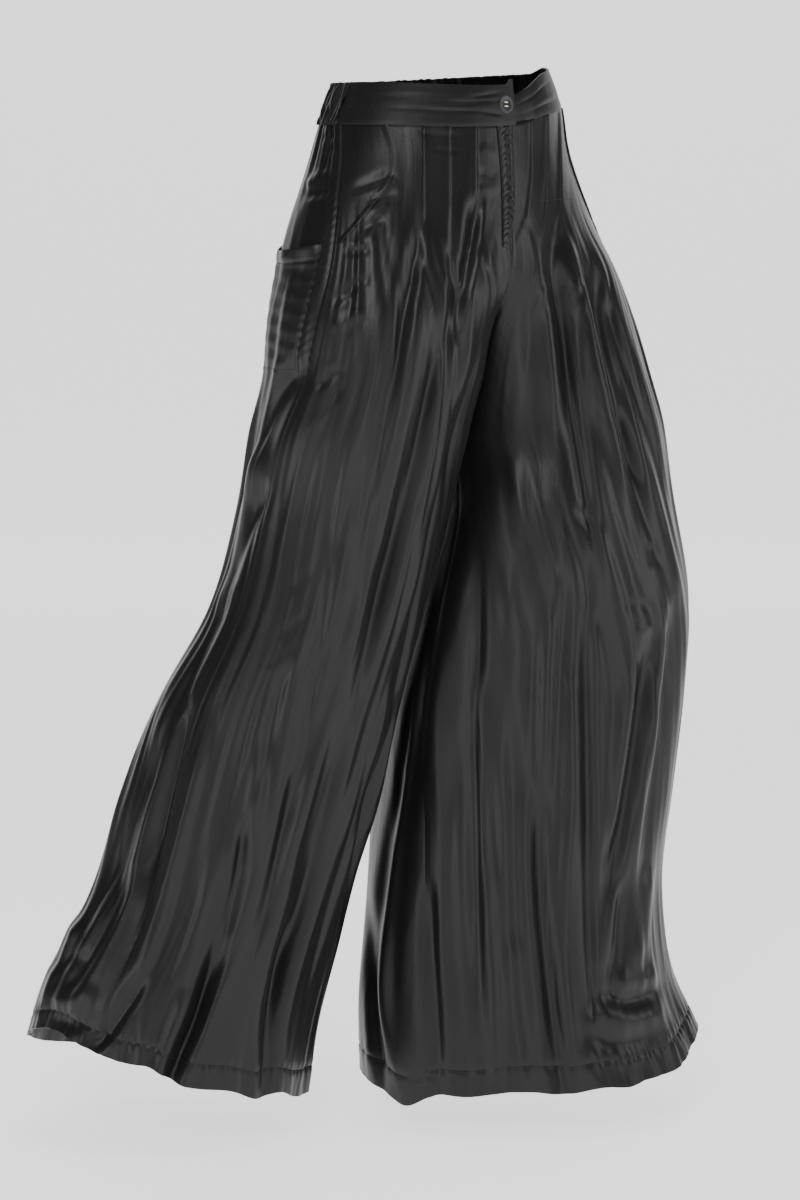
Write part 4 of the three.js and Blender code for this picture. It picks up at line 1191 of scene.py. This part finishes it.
# The button
# A turned four-hole button of polished dark resin, 18 mm across, with a raised rim and a dished face. It is
# sewn on with pale thread in two bars.
BUTTON = {"radius": 0.009, "thick": 0.0028, "rim": 0.0017, "dish": 0.0005, "slope": 0.0007, "hole": 0.00090}
BUTTON_EDGE = {"round": 0.00035, "steps": 3, "angle": 35, "smooth": 40}
BUTTON_SEWN = {"apart": 0.00030, "above": 0.0003, "past": 0.0005, "thick": 0.00032}
BUTTON_HOLES = (0.0029, 0.0020)  # how far each hole stands from the middle, across and up
BUTTON_SIDES = 64
BUTTON_HOLE_SIDES = 24
BAND_SLOPE = math.atan((BAND_BOTTOM[1] - BAND_TOP[1]) / BAND_HEIGHT)

button_low, button_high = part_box("button")
button_seat = (Vector(button_low) + Vector(button_high)) / 2
bpy.ops.object.select_all(action="DESELECT")
bpy.ops.mesh.primitive_cylinder_add(vertices=BUTTON_SIDES, radius=BUTTON["radius"], depth=BUTTON["thick"])
button = bpy.context.object
button.name = "resin_button"
bpy.ops.object.mode_set(mode="EDIT")
bpy.ops.mesh.select_all(action="DESELECT")
bpy.ops.mesh.select_mode(type="FACE")
shape = bmesh.from_edit_mesh(button.data)
for face in shape.faces:
    face.select = face.normal.z > 0.9
bmesh.update_edit_mesh(button.data)
bpy.ops.mesh.inset(thickness=BUTTON["rim"], depth=0.0)
bpy.ops.mesh.inset(thickness=BUTTON["slope"], depth=-BUTTON["dish"])
bpy.ops.object.mode_set(mode="OBJECT")
cutters = []
for x, y in ((1, 1), (1, -1), (-1, 1), (-1, -1)):
    bpy.ops.mesh.primitive_cylinder_add(
        vertices=BUTTON_HOLE_SIDES,
        radius=BUTTON["hole"],
        depth=3 * BUTTON["thick"],
        location=(x * BUTTON_HOLES[0], y * BUTTON_HOLES[1], 0),
    )
    cutters.append(bpy.context.object)
bpy.ops.object.select_all(action="DESELECT")
for cutter in cutters:
    hole = button.modifiers.new("hole", "BOOLEAN")
    hole.operation = "DIFFERENCE"
    hole.object = cutter
bpy.context.view_layer.objects.active = button
button.select_set(True)
for hole in list(button.modifiers):
    bpy.ops.object.modifier_apply(modifier=hole.name)
for cutter in cutters:
    bpy.data.objects.remove(cutter)
turned_edge = button.modifiers.new("turned edge", "BEVEL")
turned_edge.width = BUTTON_EDGE["round"]
turned_edge.segments = BUTTON_EDGE["steps"]
turned_edge.angle_limit = math.radians(BUTTON_EDGE["angle"])
bpy.ops.object.modifier_apply(modifier=turned_edge.name)
button.rotation_euler = (math.pi / 2 - BAND_SLOPE, 0, 0)
button.location = button_seat
bpy.ops.object.transform_apply(location=True, rotation=True, scale=True)
bpy.ops.object.shade_smooth_by_angle(angle=math.radians(BUTTON_EDGE["smooth"]))

resin = Finish("polished dark resin")
place = resin.node("ShaderNodeTexCoord", output=3)
clouds = resin.node("ShaderNodeTexNoise", {}, {"Vector": place, "Scale": 220, "Detail": 3, "Distortion": 1.5})
scratches = resin.node("ShaderNodeTexNoise", {}, {"Vector": place, "Scale": 1800, "Detail": 2})
tones = {0: clouds, 6: (0.012, 0.011, 0.011, 1), 7: (0.045, 0.042, 0.040, 1)}
tone = resin.node("ShaderNodeMix", {"data_type": "RGBA"}, tones, output=2)
bump = resin.node("ShaderNodeBump", {}, {"Strength": 0.2, "Distance": 0.00005, "Height": scratches})
resin.shade(Base_Color=tone, Roughness=scratches * 0.12 + 0.40, Normal=bump)
finish_piece(button, resin.material, "button", "button")

button_face = Vector((0, -math.cos(BAND_SLOPE), math.sin(BAND_SLOPE)))
button_up = Vector((0, math.sin(BAND_SLOPE), math.cos(BAND_SLOPE)))
bars = []
for level in (-1, 1):
    for strand in (-1, 0, 1):
        middle = button_seat + button_up * (level * BUTTON_HOLES[1] + strand * BUTTON_SEWN["apart"])
        middle += button_face * (BUTTON["thick"] / 2 - BUTTON["dish"] + BUTTON_SEWN["above"])
        reach = Vector((BUTTON_HOLES[0] + BUTTON_SEWN["past"], 0, 0))
        ends = np.array([middle - reach, middle + reach])
        bars.append((ends, np.tile(np.array(button_face), (2, 1))))
pale_thread = thread("pale gold thread", (0.62, 0.55, 0.38), 0.5)
button_thread = stitches("stitching_button", bars, pitch=1.0, thick=BUTTON_SEWN["thick"])
finish_piece(button_thread, pale_thread, "button_thread")


# The waistband's parts
# This loop only sorts the parts into the gathered back and the folded others, and keeps nothing.
for part, band in bands.items():
    "gathered" if part == "back" else "folded"


# The studio
# A plain pale floor that sweeps up behind, soft lights, and a camera that looks at the right front of the
# garment from a little above.
CAMERA = {"azimuth": -40, "elevation": 6, "distance": 3.8, "lens": 108, "long_side": 36}
CAMERA_TARGET = Vector((0, 0, -0.525))
CAMERA_SHIFT = -0.043
FLOOR = -1.085
FLOOR_REACH = 9.0
FLOOR_GLOW = 1.3
WORLD_GLOW = 0.12
SWEEP = {"radius": 3.0, "height": 9.0, "steps": 20}

azimuth, elevation = math.radians(CAMERA["azimuth"]), math.radians(CAMERA["elevation"])
sideways = Vector((math.cos(azimuth), math.sin(azimuth), 0))
level_away = Vector((-math.sin(azimuth), math.cos(azimuth), 0))
away = level_away * math.cos(elevation) - Vector((0, 0, math.sin(elevation)))
camera_data = bpy.data.cameras.new("camera")
camera_data.lens = CAMERA["lens"]
camera_data.sensor_width = CAMERA["long_side"]
camera_data.clip_end = 50
camera = bpy.data.objects.new("camera", camera_data)
camera.location = CAMERA_TARGET + sideways * CAMERA_SHIFT - away * CAMERA["distance"]
camera.rotation_mode = "QUATERNION"
camera.rotation_quaternion = away.to_track_quat("-Z", "Y")
bpy.context.collection.objects.link(camera)
bpy.context.scene.camera = camera


def is_far(edge):
    """Whether an edge of the floor lies at its far side."""
    return all(corner.co.dot(level_away) > 0.9 * FLOOR_REACH for corner in edge.verts)


bpy.ops.object.select_all(action="DESELECT")
bpy.ops.mesh.primitive_plane_add(size=2 * FLOOR_REACH, location=(0, 0, FLOOR), rotation=(0, 0, azimuth))
floor = bpy.context.object
floor.name = "studio_floor"
bpy.ops.object.transform_apply(location=True, rotation=True, scale=True)
bpy.ops.object.mode_set(mode="EDIT")
bpy.ops.mesh.select_mode(type="EDGE")
bpy.ops.mesh.select_all(action="DESELECT")
shape = bmesh.from_edit_mesh(floor.data)
for edge in shape.edges:
    edge.select = is_far(edge)
bmesh.update_edit_mesh(floor.data)
bpy.ops.mesh.extrude_region_move(TRANSFORM_OT_translate={"value": (0, 0, SWEEP["height"])})
bpy.ops.mesh.select_all(action="DESELECT")
shape = bmesh.from_edit_mesh(floor.data)
for edge in shape.edges:
    low = all(abs(corner.co.z - FLOOR) < 1e-4 for corner in edge.verts)
    edge.select = low and is_far(edge)
bmesh.update_edit_mesh(floor.data)
bpy.ops.mesh.bevel(offset=SWEEP["radius"], segments=SWEEP["steps"], affect="EDGES")
bpy.ops.object.mode_set(mode="OBJECT")
bpy.ops.object.shade_smooth()
pale = Finish("pale studio floor")
grain = pale.node("ShaderNodeTexNoise", {}, {"Scale": 3, "Detail": 2})
tones = {0: grain, 6: (0.78, 0.78, 0.79, 1), 7: (0.80, 0.80, 0.81, 1)}
tone = pale.node("ShaderNodeMix", {"data_type": "RGBA"}, tones, output=2)
pale.shade(Base_Color=tone, Roughness=0.9, Specular_IOR_Level=0.1)
pale.shade(Emission_Color=(1.0, 1.0, 1.02, 1), Emission_Strength=FLOOR_GLOW)
floor.data.materials.append(pale.material)

world = bpy.data.worlds.new("pale studio")
world.use_nodes = True
sky = world.node_tree.nodes["Background"].inputs
sky["Color"].default_value = (0.97, 0.98, 1.0, 1)
sky["Strength"].default_value = WORLD_GLOW
bpy.context.scene.world = world

# Each light is a soft panel: its place from the object's middle, seen from the camera, its size and power.
LIGHTS = (
    {"name": "key", "right": -0.6, "back": -3.0, "up": 1.5, "size": 1.2, "power": 44},
    {"name": "front", "right": 1.1, "back": -3.2, "up": -0.2, "size": 1.4, "power": 18},
    {"name": "left", "right": -2.3, "back": -1.7, "up": -0.2, "size": 1.0, "power": 13},
    {"name": "side", "right": 2.6, "back": -0.6, "up": 0.5, "size": 1.2, "power": 18},
    {"name": "top", "right": 0.2, "back": -0.3, "up": 2.8, "size": 2.0, "power": 26},
)
for light in LIGHTS:
    data = bpy.data.lights.new(light["name"], "AREA")
    data.shape = "SQUARE"
    data.size = light["size"]
    data.energy = light["power"]
    lamp = bpy.data.objects.new(light["name"], data)
    lamp.location = CAMERA_TARGET + sideways * light["right"] + level_away * light["back"]
    lamp.location.z += light["up"]
    lamp.rotation_mode = "QUATERNION"
    lamp.rotation_quaternion = (CAMERA_TARGET - lamp.location).to_track_quat("-Z", "Y")
    bpy.context.collection.objects.link(lamp)
